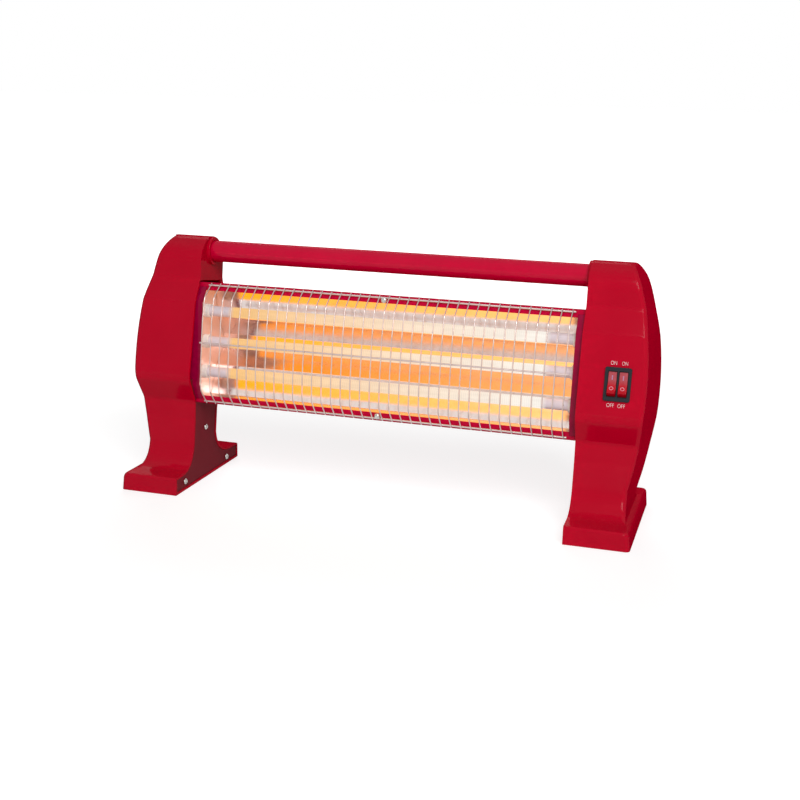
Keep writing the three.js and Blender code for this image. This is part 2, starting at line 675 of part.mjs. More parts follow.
// The strip that joins the top and bottom coils on the right, and passes behind the middle one.
function outerBusStrip() {
  const half = BUS_WIDTH / 2;
  const reach = TUBE_PITCH + half;
  const notch = TUBE_PITCH - half;
  const backU = TUBE_U + half + BUS_WIDTH;
  const outline = [
    [TUBE_U - half, reach],
    [backU, reach],
    [backU, -reach],
    [TUBE_U - half, -reach],
    [TUBE_U - half, -notch],
    [TUBE_U + half, -notch],
    [TUBE_U + half, notch],
    [TUBE_U - half, notch],
  ].map(([u, v]) => [u, v + TUBE_RISE]);
  const fromX = CAP_END_X + 2;
  const holes = [1, -1].map((side) =>
    rodX(PIN_RADIUS + GAP, fromX - 1, fromX + BUS_SHEET + 1, TUBE_U, TUBE_RISE + side * TUBE_PITCH, 8),
  );
  return cut(prism(outline, fromX, fromX + BUS_SHEET), ...holes);
}

// The strip that joins the left ends of the three coils.
function busStrip() {
  const fromX = CAP_END_X + 2;
  const reach = TUBE_PITCH + BUS_WIDTH / 2;
  const strip = block(
    [fromX, fromX + BUS_SHEET],
    [TUBE_U - BUS_WIDTH / 2, TUBE_U + BUS_WIDTH / 2],
    [TUBE_RISE - reach, TUBE_RISE + reach],
  );
  const holes = Object.keys(tubePlaces).map((name) =>
    rodX(PIN_RADIUS + GAP, fromX - 1, fromX + BUS_SHEET + 1, TUBE_U, tubeV(name), 8),
  );
  return cut(strip, ...holes);
}

// ---- Wire guard ----
const RAIL_U = LIP_U - RAIL_RADIUS - GAP;
const WIRE_OFFSET = RAIL_RADIUS + WIRE_RADIUS - WELD;
const guardScrewV = CASING_HALF - LIP_WIDTH + SCREW.headRadius;
const guardScrewEnd = LIP_BACK_U + GUARD_SCREW_REACH;

function wireRing(radius) {
  const angles = Array.from({ length: WIRE_SIDES }, (_, i) => (i / WIRE_SIDES) * 2 * Math.PI);
  return angles.map((angle) => [radius * Math.cos(angle), radius * Math.sin(angle)]);
}

// The bent line of the guard through its rails, which the upright wires follow on the outside.
const guardRun = (() => {
  const [du, dv] = [RAIL_U - GUARD_KINK_U, RAIL_V - GUARD_KINK_V];
  const past = (1.5 * RAIL_RADIUS) / Math.hypot(du, dv);
  const upper = [
    [RAIL_U + du * past, RAIL_V + dv * past],
    [GUARD_KINK_U, GUARD_KINK_V],
    [GUARD_BULGE_U, GUARD_KINK_V / 2],
  ];
  return [...upper, ...mirrored(upper)];
})();

// An upright wire: a bent rod in a plane of u and v.
function uprightWire(x) {
  const run = offset(guardRun, -WIRE_OFFSET);
  const rings = wireRing(WIRE_RADIUS).map(([across, side]) =>
    offset(run, side).map(([u, v]) => [x + across, u, v]),
  );
  const vertices = run.flatMap((_, i) => rings.map((line) => line[i]));
  const faces = [];
  for (let k = 0; k < run.length - 1; k++) {
    for (let i = 0; i < WIRE_SIDES; i++) {
      const [a, b] = [k * WIRE_SIDES + i, k * WIRE_SIDES + ((i + 1) % WIRE_SIDES)];
      faces.push([a, b + WIRE_SIDES, b], [a, a + WIRE_SIDES, b + WIRE_SIDES]);
    }
  }
  const last = (run.length - 1) * WIRE_SIDES;
  for (let i = 1; i < WIRE_SIDES - 1; i++) {
    faces.push([0, i, i + 1], [last, last + i + 1, last + i]);
  }
  const geometry = new THREE.BufferGeometry();
  geometry.setAttribute("position", new THREE.Float32BufferAttribute(vertices.flat(), 3));
  geometry.setIndex(faces.flat());
  return toSolid(geometry);
}

function wireGuard() {
  const railEnd = INNER_X - STRIP_WIDTH - GAP;
  const pitch = WIRE_SPREAD / (WIRE_COUNT - 1);
  const rail = (u, v) => rodX(RAIL_RADIUS, -railEnd, railEnd, u, v, WIRE_SIDES);
  const uprights = Array.from({ length: WIRE_COUNT }, (_, i) => uprightWire(-WIRE_SPREAD / 2 + i * pitch));
  return join(
    rail(RAIL_U, RAIL_V),
    rail(GUARD_BULGE_U, MIDDLE_RAIL_V),
    rail(RAIL_U, -RAIL_V),
    ...uprights,
  );
}

// A screw through a lip; its head clamps the rail of the guard.
function guardScrew(side) {
  const headU = RAIL_U - WIRE_OFFSET - 2 * WIRE_RADIUS - GAP;
  const v = side * guardScrewV;
  const head = rodY(SCREW.headRadius, headU - SCREW.headHeight, headU, 0, v);
  return join(head, rodY(SCREW.shankRadius, headU - 1, guardScrewEnd, 0, v));
}

// ---- Switch, in the frame of the shell's front face ----
function pocket(x) {
  const half = ROCKER_WIDTH / 2 + GAP;
  const tall = ROCKER_RADIUS + GAP;
  return block([x - half, x + half], [FACE_Y - 1, PIVOT_Y + POCKET_FLOOR], [-tall, tall]);
}

const bladePlaces = {
  live: [0, BLADE.spread],
  left_load: [rockerPlaces.left, -BLADE.spread],
  right_load: [rockerPlaces.right, -BLADE.spread],
};

function blade([x, z], grow = 0) {
  const wide = BLADE.width / 2 + grow;
  const thick = BLADE.thickness / 2 + grow;
  const from = PIVOT_Y + POCKET_FLOOR - 0.8 - grow;
  return block([x - wide, x + wide], [from, HOUSING_DEPTH + BLADE.reach + grow], [z - thick, z + thick]);
}

function switchHousing() {
  const bezel = block(
    [-BEZEL_WIDTH / 2, BEZEL_WIDTH / 2],
    [FACE_Y, -GAP],
    [-BEZEL_HEIGHT / 2, BEZEL_HEIGHT / 2],
  );
  const body = block(
    [-HOUSING_WIDTH / 2, HOUSING_WIDTH / 2],
    [-1, HOUSING_DEPTH],
    [-HOUSING_HEIGHT / 2, HOUSING_HEIGHT / 2],
  );
  const pinReach = ROCKER_WIDTH / 2 + GAP + ROCKER_PIN_REACH + 0.15;
  const pins = Object.values(rockerPlaces).map((x) =>
    rodX((ROCKER_PIN_RADIUS + PIN_PLAY) / Math.cos(Math.PI / STEPS), x - pinReach, x + pinReach, PIVOT_Y, 0),
  );
  const blades = Object.values(bladePlaces).map((place) => blade(place, GAP));
  return cut(join(bezel, body), ...Object.values(rockerPlaces).map(pocket), ...pins, ...blades);
}

// A rocker about its pivot: two face halves that meet at an angle, round ends, and a pin.
function rocker() {
  const slope = Math.tan(ROCKER_TILT);
  const root = Math.sqrt(ROCKER_RADIUS ** 2 * (1 + slope ** 2) - ROCKER_FACE ** 2);
  const faceEnd = (root - ROCKER_FACE * slope) / (1 + slope ** 2);
  const start = Math.atan2(ROCKER_FACE + faceEnd * slope, faceEnd);
  const stop = -Math.asin(ROCKER_SKIRT / ROCKER_RADIUS);
  const arc = [0, 1, 2, 3, 4].map((i) => {
    const angle = start + ((stop - start) * i) / 4;
    return [-ROCKER_RADIUS * Math.sin(angle), ROCKER_RADIUS * Math.cos(angle)];
  });
  const outline = [[-ROCKER_FACE, 0], ...arc, ...mirrored(arc)].reverse();
  const half = ROCKER_WIDTH / 2;
  const pin = half + GAP + ROCKER_PIN_REACH;
  return join(prism(outline, -half, half), rodX(ROCKER_PIN_RADIUS, -pin, pin));
}

// ---- Cord inlet and terminal block, in the frame of the leg's back wall ----
function gland() {
  return cut(
    join(rodY(GLAND_FLANGE, GAP, GAP + GLAND_FLANGE_THICKNESS), rodY(GLAND_RADIUS, -WALL - GLAND_REACH, 1)),
    rodY(INLET_BORE, -WALL - GLAND_REACH - 1, GLAND_FLANGE_THICKNESS + 2),
  );
}

function glandNut() {
  const from = -WALL - GAP - NUT_THICKNESS;
  const nut = rodY(NUT_RADIUS, from, -WALL - GAP, 0, 0, 6);
  return cut(nut, rodY(GLAND_RADIUS + GAP, from - 1, 0));
}

function terminalBlock() {
  const y = [-WALL - GAP - BLOCK.depth, -WALL - GAP];
  const z = [BLOCK.rise, BLOCK.rise + BLOCK.height];
  const body = block([-BLOCK.width / 2, BLOCK.width / 2], y, z);
  const mouths = [-1, 0, 1].map((i) => {
    const x = (i * BLOCK.width) / 3;
    return block([x - 2.4, x + 2.4], [y[0] + 3, y[1] - 3], [z[1] - 5, z[1] + 1]);
  });
  return cut(body, ...mouths);
}

// ---- Leads ----
// A lead through the points, with an eight-sided section.
function lead(points) {
  const turns = points.map((point) => new THREE.Vector3(...point));
  const path = new THREE.CatmullRomCurve3(turns, false, "centripetal");
  const section = new THREE.Shape(
    Array.from({ length: 8 }, (_, i) => {
      const angle = (i / 8) * 2 * Math.PI;
      return new THREE.Vector2(LEAD_RADIUS * Math.cos(angle), LEAD_RADIUS * Math.sin(angle));
    }),
  );
  const steps = Math.min(80, Math.max(8, Math.round(path.getLength() / (6 * LEAD_RADIUS))));
  return new THREE.ExtrudeGeometry(section, { steps, bevelEnabled: false, extrudePath: path });
}

const placed = (group, ...point) => group.localToWorld(new THREE.Vector3(...point)).toArray();

// ---- Assembly ----
const heater = new THREE.Group();
heater.add(unit, switchUnit, inletUnit);

const openings = {
  switchHole: block(
    [-HOUSING_WIDTH / 2 - GAP, HOUSING_WIDTH / 2 + GAP],
    [-8, 3 * WALL],
    [-HOUSING_HEIGHT / 2 - GAP, HOUSING_HEIGHT / 2 + GAP],
  ).applyMatrix4(switchUnit.matrixWorld),
  inletHole: rodY(GLAND_RADIUS + GAP, -3 * WALL, 8).applyMatrix4(inletUnit.matrixWorld),
};
const shellShapes = { left: endShell([]), right: endShell(Object.values(openings)) };

// Pieces that both ends have: built for the right end, and mirrored for the left.
for (const [side, sign] of [["left", -1], ["right", 1]]) {
  const ends = new THREE.Group();
  const unitEnds = new THREE.Group();
  ends.scale.x = sign;
  unitEnds.scale.x = sign;
  heater.add(ends);
  unit.add(unitEnds);
  ends.add(mesh(`${side}_end_shell`, shellShapes[side], FINISH.shell));
  ends.add(mesh(`${side}_leg_cover`, legCover(), FINISH.cover));
  for (const [name, place] of Object.entries(COVER_SCREWS)) {
    ends.add(mesh(`${side}_${name}_screw`, screw(INNER_X + COVER_RECESS, ...place), FINISH.steel));
  }
  unitEnds.add(mesh(`${side}_end_bracket`, endBracket(), FINISH.casing));
  unitEnds.add(mesh(`${side}_reflector_end`, reflectorEnd(), FINISH.mirror));
  for (const [name, place] of Object.entries(bracketScrews)) {
    unitEnds.add(mesh(`${side}_bracket_screw_${name}`, screw(BRACKET_X, ...place), FINISH.steel));
  }
  for (const name of Object.keys(tubePlaces)) {
    unitEnds.add(mesh(`${side}_cap_${name}`, cap(tubeV(name)), FINISH.ceramic));
  }
  const strip = side === "left" ? busStrip() : outerBusStrip();
  unitEnds.add(mesh(`${side}_bus_strip`, strip, FINISH.brass));
}

const handle = mesh("handle_tube", handleTube(), FINISH.handle);
handle.position.set(0, HANDLE_Y, HANDLE_Z);
heater.add(handle);

unit.add(mesh("casing", casing(), FINISH.casing));
unit.add(mesh("reflector", reflector(), FINISH.mirror));
unit.add(mesh("wire_guard", wireGuard(), FINISH.steel));
unit.add(mesh("guard_screw_top", guardScrew(1), FINISH.steel));
unit.add(mesh("guard_screw_bottom", guardScrew(-1), FINISH.steel));
for (const name of Object.keys(tubePlaces)) {
  unit.add(mesh(`quartz_tube_${name}`, tube(tubeV(name)), FINISH.quartz));
  unit.add(mesh(`heating_coil_${name}`, coil(tubeV(name)), FINISH.coil));
}

switchUnit.add(mesh("switch_housing", switchHousing(), FINISH.black));
for (const [name, x] of Object.entries(rockerPlaces)) {
  const piece = mesh(`rocker_${name}`, rocker(), FINISH.rocker);
  piece.position.set(x, PIVOT_Y, 0);
  piece.rotation.x = -ROCKER_TILT; // switched on: its top is pressed in
  switchUnit.add(piece);
}
for (const [name, place] of Object.entries(bladePlaces)) {
  switchUnit.add(mesh(`switch_blade_${name}`, blade(place), FINISH.brass));
}

inletUnit.add(mesh("cord_gland", gland(), FINISH.black));
inletUnit.add(mesh("gland_nut", glandNut(), FINISH.black));
inletUnit.add(mesh("terminal_block", terminalBlock(), FINISH.grey));

const tipSwitch = mesh(
  "tip_over_switch",
  new THREE.BoxGeometry(TIP_SWITCH.width, TIP_SWITCH.depth, TIP_SWITCH.height),
  FINISH.grey,
);
tipSwitch.position.set(INNER_X + INLET_X, TIP_SWITCH.y, WALL + GAP + TIP_SWITCH.height / 2);
heater.add(tipSwitch);

// Where the leads end, a clearance short of what they are joined to, and a point straight before it.
const STRAIGHT = 4;
const bladeEnd = (name) => {
  const [x, z] = bladePlaces[name];
  const y = HOUSING_DEPTH + BLADE.reach + GAP;
  return [placed(switchUnit, x, y, z), placed(switchUnit, x, y + STRAIGHT, z)];
};
const pinEnd = (name) => {
  const x = CAP_END_X + PIN_REACH + GAP;
  return [placed(unit, x + STRAIGHT, TUBE_U, tubeV(name)), placed(unit, x, TUBE_U, tubeV(name))];
};
const blockTop = (i) => {
  const y = -WALL - GAP - BLOCK.depth / 2;
  const z = BLOCK.rise + BLOCK.height + GAP;
  const x = (i * BLOCK.width) / 3;
  return [placed(inletUnit, x, y, z), placed(inletUnit, x, y, z + STRAIGHT)];
};
const tipTop = (shift) => {
  const [x, y, z] = [INNER_X + INLET_X + shift, TIP_SWITCH.y - 6, WALL + 2 * GAP + TIP_SWITCH.height];
  return [[x, y, z], [x, y, z + STRAIGHT]];
};
const shifted = ([x, y, z], dx, dy, dz) => [x + dx, y + dy, z + dz];
const busX = CAP_END_X + 2 + BUS_SHEET + GAP;
const earthPlace = [BRACKET_X + BRACKET_SHEET + GAP, 20, -36];
const neutralTurn = shifted(placed(unit, BRACKET_X, LEAD_U, LEAD_V), 10, -4, -9);

const routes = {
  live_lead: [
    ...blockTop(-1),
    shifted(blockTop(-1)[1], 0, -12, 4),
    shifted(blockTop(-1)[1], 0, -29, -8),
    shifted(tipTop(-5)[1], 0, -3, 34),
    ...tipTop(-5).reverse(),
  ],
  switched_live_lead: [
    ...tipTop(5),
    shifted(tipTop(5)[1], 0, -3, 28),
    shifted(tipTop(5)[1], 0, -2, 58),
    shifted(bladeEnd("live")[1], 0, -8, -46),
    shifted(bladeEnd("live")[1], 0, 5, -18),
    ...bladeEnd("live").reverse(),
  ],
  middle_tube_lead: [
    ...bladeEnd("left_load"),
    shifted(bladeEnd("left_load")[1], -4, 4, 6),
    shifted(pinEnd("middle")[0], 3, 4, -1),
    ...pinEnd("middle"),
  ],
  outer_tubes_lead: [
    ...bladeEnd("right_load"),
    shifted(bladeEnd("right_load")[1], -6, 4, -6),
    shifted(pinEnd("bottom")[0], 5, 4, 1),
    ...pinEnd("bottom"),
  ],
  earth_lead: [
    ...blockTop(0),
    shifted(blockTop(0)[1], -8, 2, 12),
    placed(unit, earthPlace[0] + STRAIGHT + 3, earthPlace[1], earthPlace[2] - 2),
    placed(unit, ...earthPlace),
  ],
  neutral_lead: [
    placed(unit, -busX, TUBE_U + BUS_WIDTH / 4, TUBE_RISE + TUBE_PITCH / 2),
    placed(unit, -busX - STRAIGHT, TUBE_U + BUS_WIDTH / 4, TUBE_RISE + TUBE_PITCH / 2),
    placed(unit, -busX - 2.5 * STRAIGHT, 8, TUBE_PITCH / 3),
    placed(unit, -busX - STRAIGHT, LEAD_U - 6, LEAD_V + 2),
    placed(unit, -BRACKET_X, LEAD_U, LEAD_V),
    placed(unit, -BRACKET_X + 2 * STRAIGHT, LEAD_U, LEAD_V),
    placed(unit, 0, LEAD_U, LEAD_V),
    placed(unit, BRACKET_X - 2 * STRAIGHT, LEAD_U, LEAD_V),
    placed(unit, BRACKET_X, LEAD_U, LEAD_V),
    neutralTurn,
    shifted(blockTop(1)[1], -6, 8, 20),
    ...blockTop(1).reverse(),
  ],
};

for (const [name, points] of Object.entries(routes)) {
  heater.add(mesh(name, lead(points), FINISH.lead));
}

export default heater;
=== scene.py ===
"""Looks of a heater with three quartz tubes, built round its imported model.

Sizes are in millimetres until a piece is finished, and in metres after that. X runs along the tubes,
Y from front to back and Z up. The heating unit leans back: its own axes are u, from front to back,
and v, up.
"""

import json
import logging
import math
from collections.abc import Iterable, Sequence
from dataclasses import dataclass
from enum import Enum

import bmesh
import bpy
from bmesh.types import BMEdge, BMesh, BMVert
from mathutils import Matrix, Vector


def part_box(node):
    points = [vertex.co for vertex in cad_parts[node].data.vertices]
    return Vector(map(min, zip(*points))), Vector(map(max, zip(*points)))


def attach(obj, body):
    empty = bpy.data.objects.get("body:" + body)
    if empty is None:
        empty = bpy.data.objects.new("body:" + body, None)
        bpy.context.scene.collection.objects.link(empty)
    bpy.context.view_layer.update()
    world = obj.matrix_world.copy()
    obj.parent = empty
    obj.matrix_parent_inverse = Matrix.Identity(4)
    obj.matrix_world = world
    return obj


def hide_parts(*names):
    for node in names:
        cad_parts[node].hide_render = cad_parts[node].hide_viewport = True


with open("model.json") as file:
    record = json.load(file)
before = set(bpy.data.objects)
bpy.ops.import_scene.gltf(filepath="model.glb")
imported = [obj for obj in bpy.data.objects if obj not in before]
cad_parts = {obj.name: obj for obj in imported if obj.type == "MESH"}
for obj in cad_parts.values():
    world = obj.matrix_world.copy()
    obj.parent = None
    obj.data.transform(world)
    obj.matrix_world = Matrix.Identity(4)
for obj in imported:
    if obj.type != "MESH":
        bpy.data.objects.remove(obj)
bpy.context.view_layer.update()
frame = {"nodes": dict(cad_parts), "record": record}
LOG = logging.getLogger("heater")

MM = 0.001
ROOT = "root"
WHITE = (1.0, 1.0, 1.0, 1.0)
X_AXIS = Vector((1, 0, 0))
Y_AXIS = Vector((0, 1, 0))
Z_AXIS = Vector((0, 0, 1))

Point = tuple[float, float]
Corner = tuple[float, float, float]
Colour = tuple[float, float, float]
Data = bpy.types.Mesh
Material = bpy.types.Material
Piece = bpy.types.Object
Socket = bpy.types.NodeSocket


class Side(Enum):
    """The two ends of the heater, with the sign of their X."""

    LEFT = -1
    RIGHT = 1

    @property
    def word(self) -> str:
        """The side's name in the pieces' names."""
        return self.name.lower()


class Row(Enum):
    """The three tubes, as steps of the tubes' pitch from the middle one."""

    TOP = 1
    MIDDLE = 0
    BOTTOM = -1

    @property
    def word(self) -> str:
        """The row's name in the pieces' names."""
        return self.name.lower()


# ---- Places and sizes that several pieces share ----


@dataclass(frozen=True)
class Layout:
    """Sizes that more than one sub-assembly is set out from."""

    inner_x: float = 200.2
    gap: float = 0.3
    lean: float = math.radians(7.3)
    lean_foot_z: float = 97.0
    unit_z: float = 148.0
    foot_depth: float = 153.2
    casing_half: float = 63.2
    lip_width: float = 8.2
    lip_u: float = -18.0
    strip_width: float = 6.9
    handle_y: float = 18.2
    handle_z: float = 241.8
    tube_u: float = -13.0
    tube_rise: float = 1.8
    tube_pitch: float = 31.8
    plate_inset: float = 3.6

    @property
    def slope(self) -> float:
        """Rise in Y of the leaning centre-line for each millimetre of Z."""
        return math.tan(self.lean)

    def centre_y(self, z: float) -> float:
        """Y of the leaning centre-line at a height."""
        return (z - self.lean_foot_z) * self.slope

    def unit(self) -> Matrix:
        """Turns x, u, v of the heating unit into x, y, z."""
        return Matrix.Translation((0, 0, self.unit_z)) @ Matrix.Rotation(-self.lean, 4, "X")

    def tube_v(self, row: Row) -> float:
        """Height of a tube's centre in the leaning unit."""
        return self.tube_rise + row.value * self.tube_pitch


LAYOUT = Layout()


# ---- Outlines ----

STRAIGHT = math.radians(0.5)  # a corner that turns by less is left as it is
EDGE_SHARE = 0.48  # the most of an edge that the round at one end takes up
SHARPEST = 0.25  # holds a sharp corner back when its outline is moved sideways
SNAP = 1e-4  # points of a new mesh that lie this near count as one, in mm
NEAR = 1e-3  # the same for points of the model
FACING = 0.9  # a face whose normal lies along an axis by more than this looks that way


def value_at(run: Sequence[Point], z: float) -> float:
    """Reads a run of points that climbs.

    Args:
        run: Points of a value and its height, from the lowest up.
        z: The height to read at.

    Returns:
        The value at that height, straight between two points.
    """
    for (low_value, low), (high_value, high) in zip(run, run[1:]):
        if z <= high:
            share = max(0.0, (z - low) / (high - low))
            return low_value + (high_value - low_value) * share
    return run[-1][0]


def climbing(points: Iterable[Point], least: float = 0.02) -> list[Point]:
    """Keeps the points that lie higher than all before them.

    Args:
        points: Points of a value and its height.
        least: The least step up.

    Returns:
        The points that climb.
    """
    kept: list[Point] = []
    for point in points:
        if not kept or point[1] > kept[-1][1] + least:
            kept.append(point)
    return kept


def bend(start: Point, control: Point, end: Point, steps: int) -> list[Point]:
    """A soft curve between two points, drawn towards a third.

    Args:
        start: First point.
        control: The point that the curve is drawn towards.
        end: Last point.
        steps: Number of straight pieces.

    Returns:
        The points of the curve, both ends included.
    """
    points = []
    for i in range(steps + 1):
        t = i / steps
        a, b, c = (1 - t) ** 2, 2 * t * (1 - t), t * t
        points.append(tuple(a * p + b * q + c * r for p, q, r in zip(start, control, end)))
    return points


def rounded(corners: Sequence[Corner], closed: bool = False, turn: float = 12.0) -> list[Point]:
    """Rounds the corners of an outline.

    Args:
        corners: Points with the radius of the round at each.
        closed: Whether the outline closes on itself.
        turn: Largest turn in degrees between two pieces of a round.

    Returns:
        The points of the outline.
    """
    count = len(corners)
    points: list[Point] = []
    for i, (x, y, radius) in enumerate(corners):
        here = Vector((x, y))
        if radius <= 0 or (not closed and i in (0, count - 1)):
            points.append((x, y))
            continue
        before = Vector(corners[i - 1][:2]) - here
        after = Vector(corners[(i + 1) % count][:2]) - here
        opening = before.angle(after)
        angle = math.pi - opening
        if angle < STRAIGHT:
            points.append((x, y))
            continue
        reach = min(radius * math.tan(angle / 2), EDGE_SHARE * before.length, EDGE_SHARE * after.length)
        start, end = here + before.normalized() * reach, here + after.normalized() * reach
        true_radius = reach / math.tan(angle / 2)
        middle = here + (before.normalized() + after.normalized()).normalized() * (
            true_radius / math.sin(opening / 2)
        )
        steps = max(2, math.ceil(math.degrees(angle) / turn))
        first, last = start - middle, end - middle
        for k in range(steps + 1):
            share = k / steps
            spot = first * math.sin((1 - share) * angle) + last * math.sin(share * angle)
            points.append(tuple(middle + spot / math.sin(angle)))
    return points


def sideways(points: Sequence[Point], distance: float, closed: bool = False) -> list[Point]:
    """Moves a run of points to the left of its direction.

    Args:
        points: The run.
        distance: How far; a negative distance moves it to the right.
        closed: Whether the run closes on itself.

    Returns:
        The moved run.
    """
    count = len(points)
    spots = [Vector(point) for point in points]

    def left(a: Vector, b: Vector) -> Vector:
        """The unit normal to the left of a step."""
        step = (b - a).normalized()
        return Vector((-step.y, step.x))

    moved = []
    for i, spot in enumerate(spots):
        if closed:
            before, after = left(spots[i - 1], spot), left(spot, spots[(i + 1) % count])
        else:
            before = left(spots[max(i - 1, 0)], spots[max(i, 1)])
            after = left(spots[min(i, count - 2)], spots[min(i + 1, count - 1)])
        moved.append(tuple(spot + (before + after) * (distance / max(1 + before.dot(after), SHARPEST))))
    return moved


def both_halves(upper: Sequence[Corner]) -> list[Corner]:
    """An outline of u, v and radius, and its mirror image below v = 0."""
    return [*upper, *[(u, -v, radius) for u, v, radius in reversed(upper)]]


def rectangle(left: float, right: float, low: float, high: float) -> list[Point]:
    """The corners of a rectangle."""
    return [(left, low), (right, low), (right, high), (left, high)]


def pipe(inner: float, outer: float, end: float, edge: float) -> list[Corner]:
    """The section of a pipe: radius, height from -end to end, and the round of its edges."""
    return [(*corner, edge) for corner in rectangle(inner, outer, -end, end)]


# ---- Mesh making ----


def everything(bm: BMesh) -> list[object]:
    """All points, edges and faces of a mesh in the making."""
    return [*bm.verts, *bm.edges, *bm.faces]


def points_in(geometry: Iterable[object]) -> list[BMVert]:
    """The points among what an operator has made."""
    return [item for item in geometry if isinstance(item, BMVert)]


def wire(
    bm: BMesh, points: Sequence[Sequence[float]], closed: bool = False
) -> tuple[list[BMVert], list[BMEdge]]:
    """Adds a run of points and the edges between them.

    Args:
        bm: The mesh in the making.
        points: Places of the points.
        closed: Whether the last point joins the first.

    Returns:
        The points and the edges, in order.
    """
    verts = [bm.verts.new(point) for point in points]
    pairs = list(zip(verts, verts[1:])) + ([(verts[-1], verts[0])] if closed else [])
    return verts, [bm.edges.new(pair) for pair in pairs]


def lofted(bm: BMesh, rings: Sequence[Sequence[Vector]], closed: bool) -> list[list[BMVert]]:
    """Extrudes the edges of the first ring through all the others.

    Args:
        bm: The mesh in the making.
        rings: Rings of the same number of points.
        closed: Whether each ring closes on itself.

    Returns:
        The points of each ring.
    """
    verts, edges = wire(bm, rings[0], closed)
    made = [verts]
    for ring in rings[1:]:
        old = made[-1]
        grown = bmesh.ops.extrude_edge_only(bm, edges=edges)["geom"]
        fresh = set(points_in(grown))
        row = []
        for vert, place in zip(old, ring):
            twin = next(edge.other_vert(vert) for edge in vert.link_edges if edge.other_vert(vert) in fresh)
            twin.co = place
            row.append(twin)
        pairs = list(zip(row, row[1:])) + ([(row[-1], row[0])] if closed else [])
        edges = [bm.edges.get(pair) for pair in pairs]
        made.append(row)
    return made


def capped(bm: BMesh, rings: Sequence[Sequence[Vector]], closed: bool) -> None:
    """Lofts rings, closes both ends of the loft and turns its faces outwards.

    Args:
        bm: The mesh in the making.
        rings: Rings of the same number of points.
        closed: Whether each ring closes on itself.
    """
    rows = lofted(bm, rings, closed)
    bm.faces.new(rows[0])
    bm.faces.new(rows[-1])
    bmesh.ops.recalc_face_normals(bm, faces=bm.faces)


def turned(profile: Sequence[Point], steps: int = 48, closed: bool = False) -> BMesh:
    """Turns a profile about the Z axis, as on a lathe.

    Args:
        profile: Points of radius and height. An open profile starts and ends on the axis.
        steps: Number of facets round the axis.
        closed: Whether the profile closes on itself, as for a ring or a tube.

    Returns:
        The turned mesh, with its faces outwards.
    """
    bm = bmesh.new()
    verts, edges = wire(bm, [(radius, 0, height) for radius, height in profile], closed)
    bmesh.ops.spin(
        bm,
        geom=[*verts, *edges],
        cent=(0, 0, 0),
        axis=(0, 0, 1),
        dvec=(0, 0, 0),
        angle=2 * math.pi,
        steps=steps,
        use_merge=True,
        use_duplicate=False,
    )
    bmesh.ops.remove_doubles(bm, verts=bm.verts, dist=SNAP)
    bmesh.ops.recalc_face_normals(bm, faces=bm.faces)
    return bm


def lathed(section: Sequence[Corner], turn: float, steps: int) -> BMesh:
    """Rounds a closed section of radius and height, and turns it about the Z axis."""
    return turned(rounded(section, closed=True, turn=turn), steps, closed=True)


def rod(radius: float, end: float, edge: float, steps: int) -> BMesh:
    """A round rod about the Z axis from -end to end, with softened edges."""
    profile = [(0, -end, 0), (radius, -end, edge), (radius, end, edge), (0, end, 0)]
    return turned(rounded(profile, turn=45), steps)


def drawn(section: Sequence[Point], from_x: float, to_x: float) -> BMesh:
    """Draws a closed section out along X.

    Args:
        section: Points of y and z, or of u and v.
        from_x: Where it starts.
        to_x: Where it ends.

    Returns:
        The closed mesh.
    """
    bm = bmesh.new()
    verts = [bm.verts.new((from_x, y, z)) for y, z in section]
    face = bm.faces.new(verts)
    fresh = points_in(bmesh.ops.extrude_face_region(bm, geom=[face])["geom"])
    bmesh.ops.translate(bm, verts=fresh, vec=(to_x - from_x, 0, 0))
    bmesh.ops.recalc_face_normals(bm, faces=bm.faces)
    return bm


def as_data(bm: BMesh, name: str) -> Data:
    """Turns a mesh in the making into mesh data, and frees it.

    Args:
        bm: The mesh in the making.
        name: The data's name.

    Returns:
        The mesh data.
    """
    mesh = bpy.data.meshes.new(name)
    bm.to_mesh(mesh)
    bm.free()
    return mesh


def reopened(mesh: Data) -> BMesh:
    """Makes a mesh in the making from mesh data.

    Args:
        mesh: The mesh data to copy.

    Returns:
        The mesh in the making.
    """
    bm = bmesh.new()
    bm.from_mesh(mesh)
    return bm


def linked(name: str, data: bpy.types.ID) -> Piece:
    """Adds an object with that data to the scene.

    Args:
        name: The object's name.
        data: Its mesh, lamp or camera data.

    Returns:
        The new object.
    """
    thing = bpy.data.objects.new(name, data)
    bpy.context.scene.collection.objects.link(thing)
    return thing


def baked(holder: Piece) -> Data:
    """The mesh data that an object's curve or modifiers come to."""
    return bpy.data.meshes.new_from_object(holder.evaluated_get(bpy.context.evaluated_depsgraph_get()))


def joined(*parts: BMesh) -> BMesh:
    """Puts several meshes into the first one, and frees the others.

    Args:
        parts: The meshes in the making.

    Returns:
        The first of them.
    """
    whole = parts[0]
    for part in parts[1:]:
        carrier = as_data(part, "carrier")
        whole.from_mesh(carrier)
        bpy.data.meshes.remove(carrier)
    return whole


def moved(bm: BMesh, place: Matrix) -> BMesh:
    """Moves a mesh in the making, and keeps its faces outwards when the move mirrors it.

    Args:
        bm: The mesh in the making.
        place: The move.

    Returns:
        The same mesh.
    """
    bmesh.ops.transform(bm, matrix=place, verts=bm.verts)
    if place.determinant() < 0:
        bmesh.ops.reverse_faces(bm, faces=bm.faces)
    return bm


def along_x(x: float = 0.0, y: float = 0.0, z: float = 0.0, towards: int = 1) -> Matrix:
    """Lays a turned piece's axis along X, with its top towards that side."""
    return Matrix.Translation((x, y, z)) @ Matrix.Rotation(towards * math.pi / 2, 4, "Y")


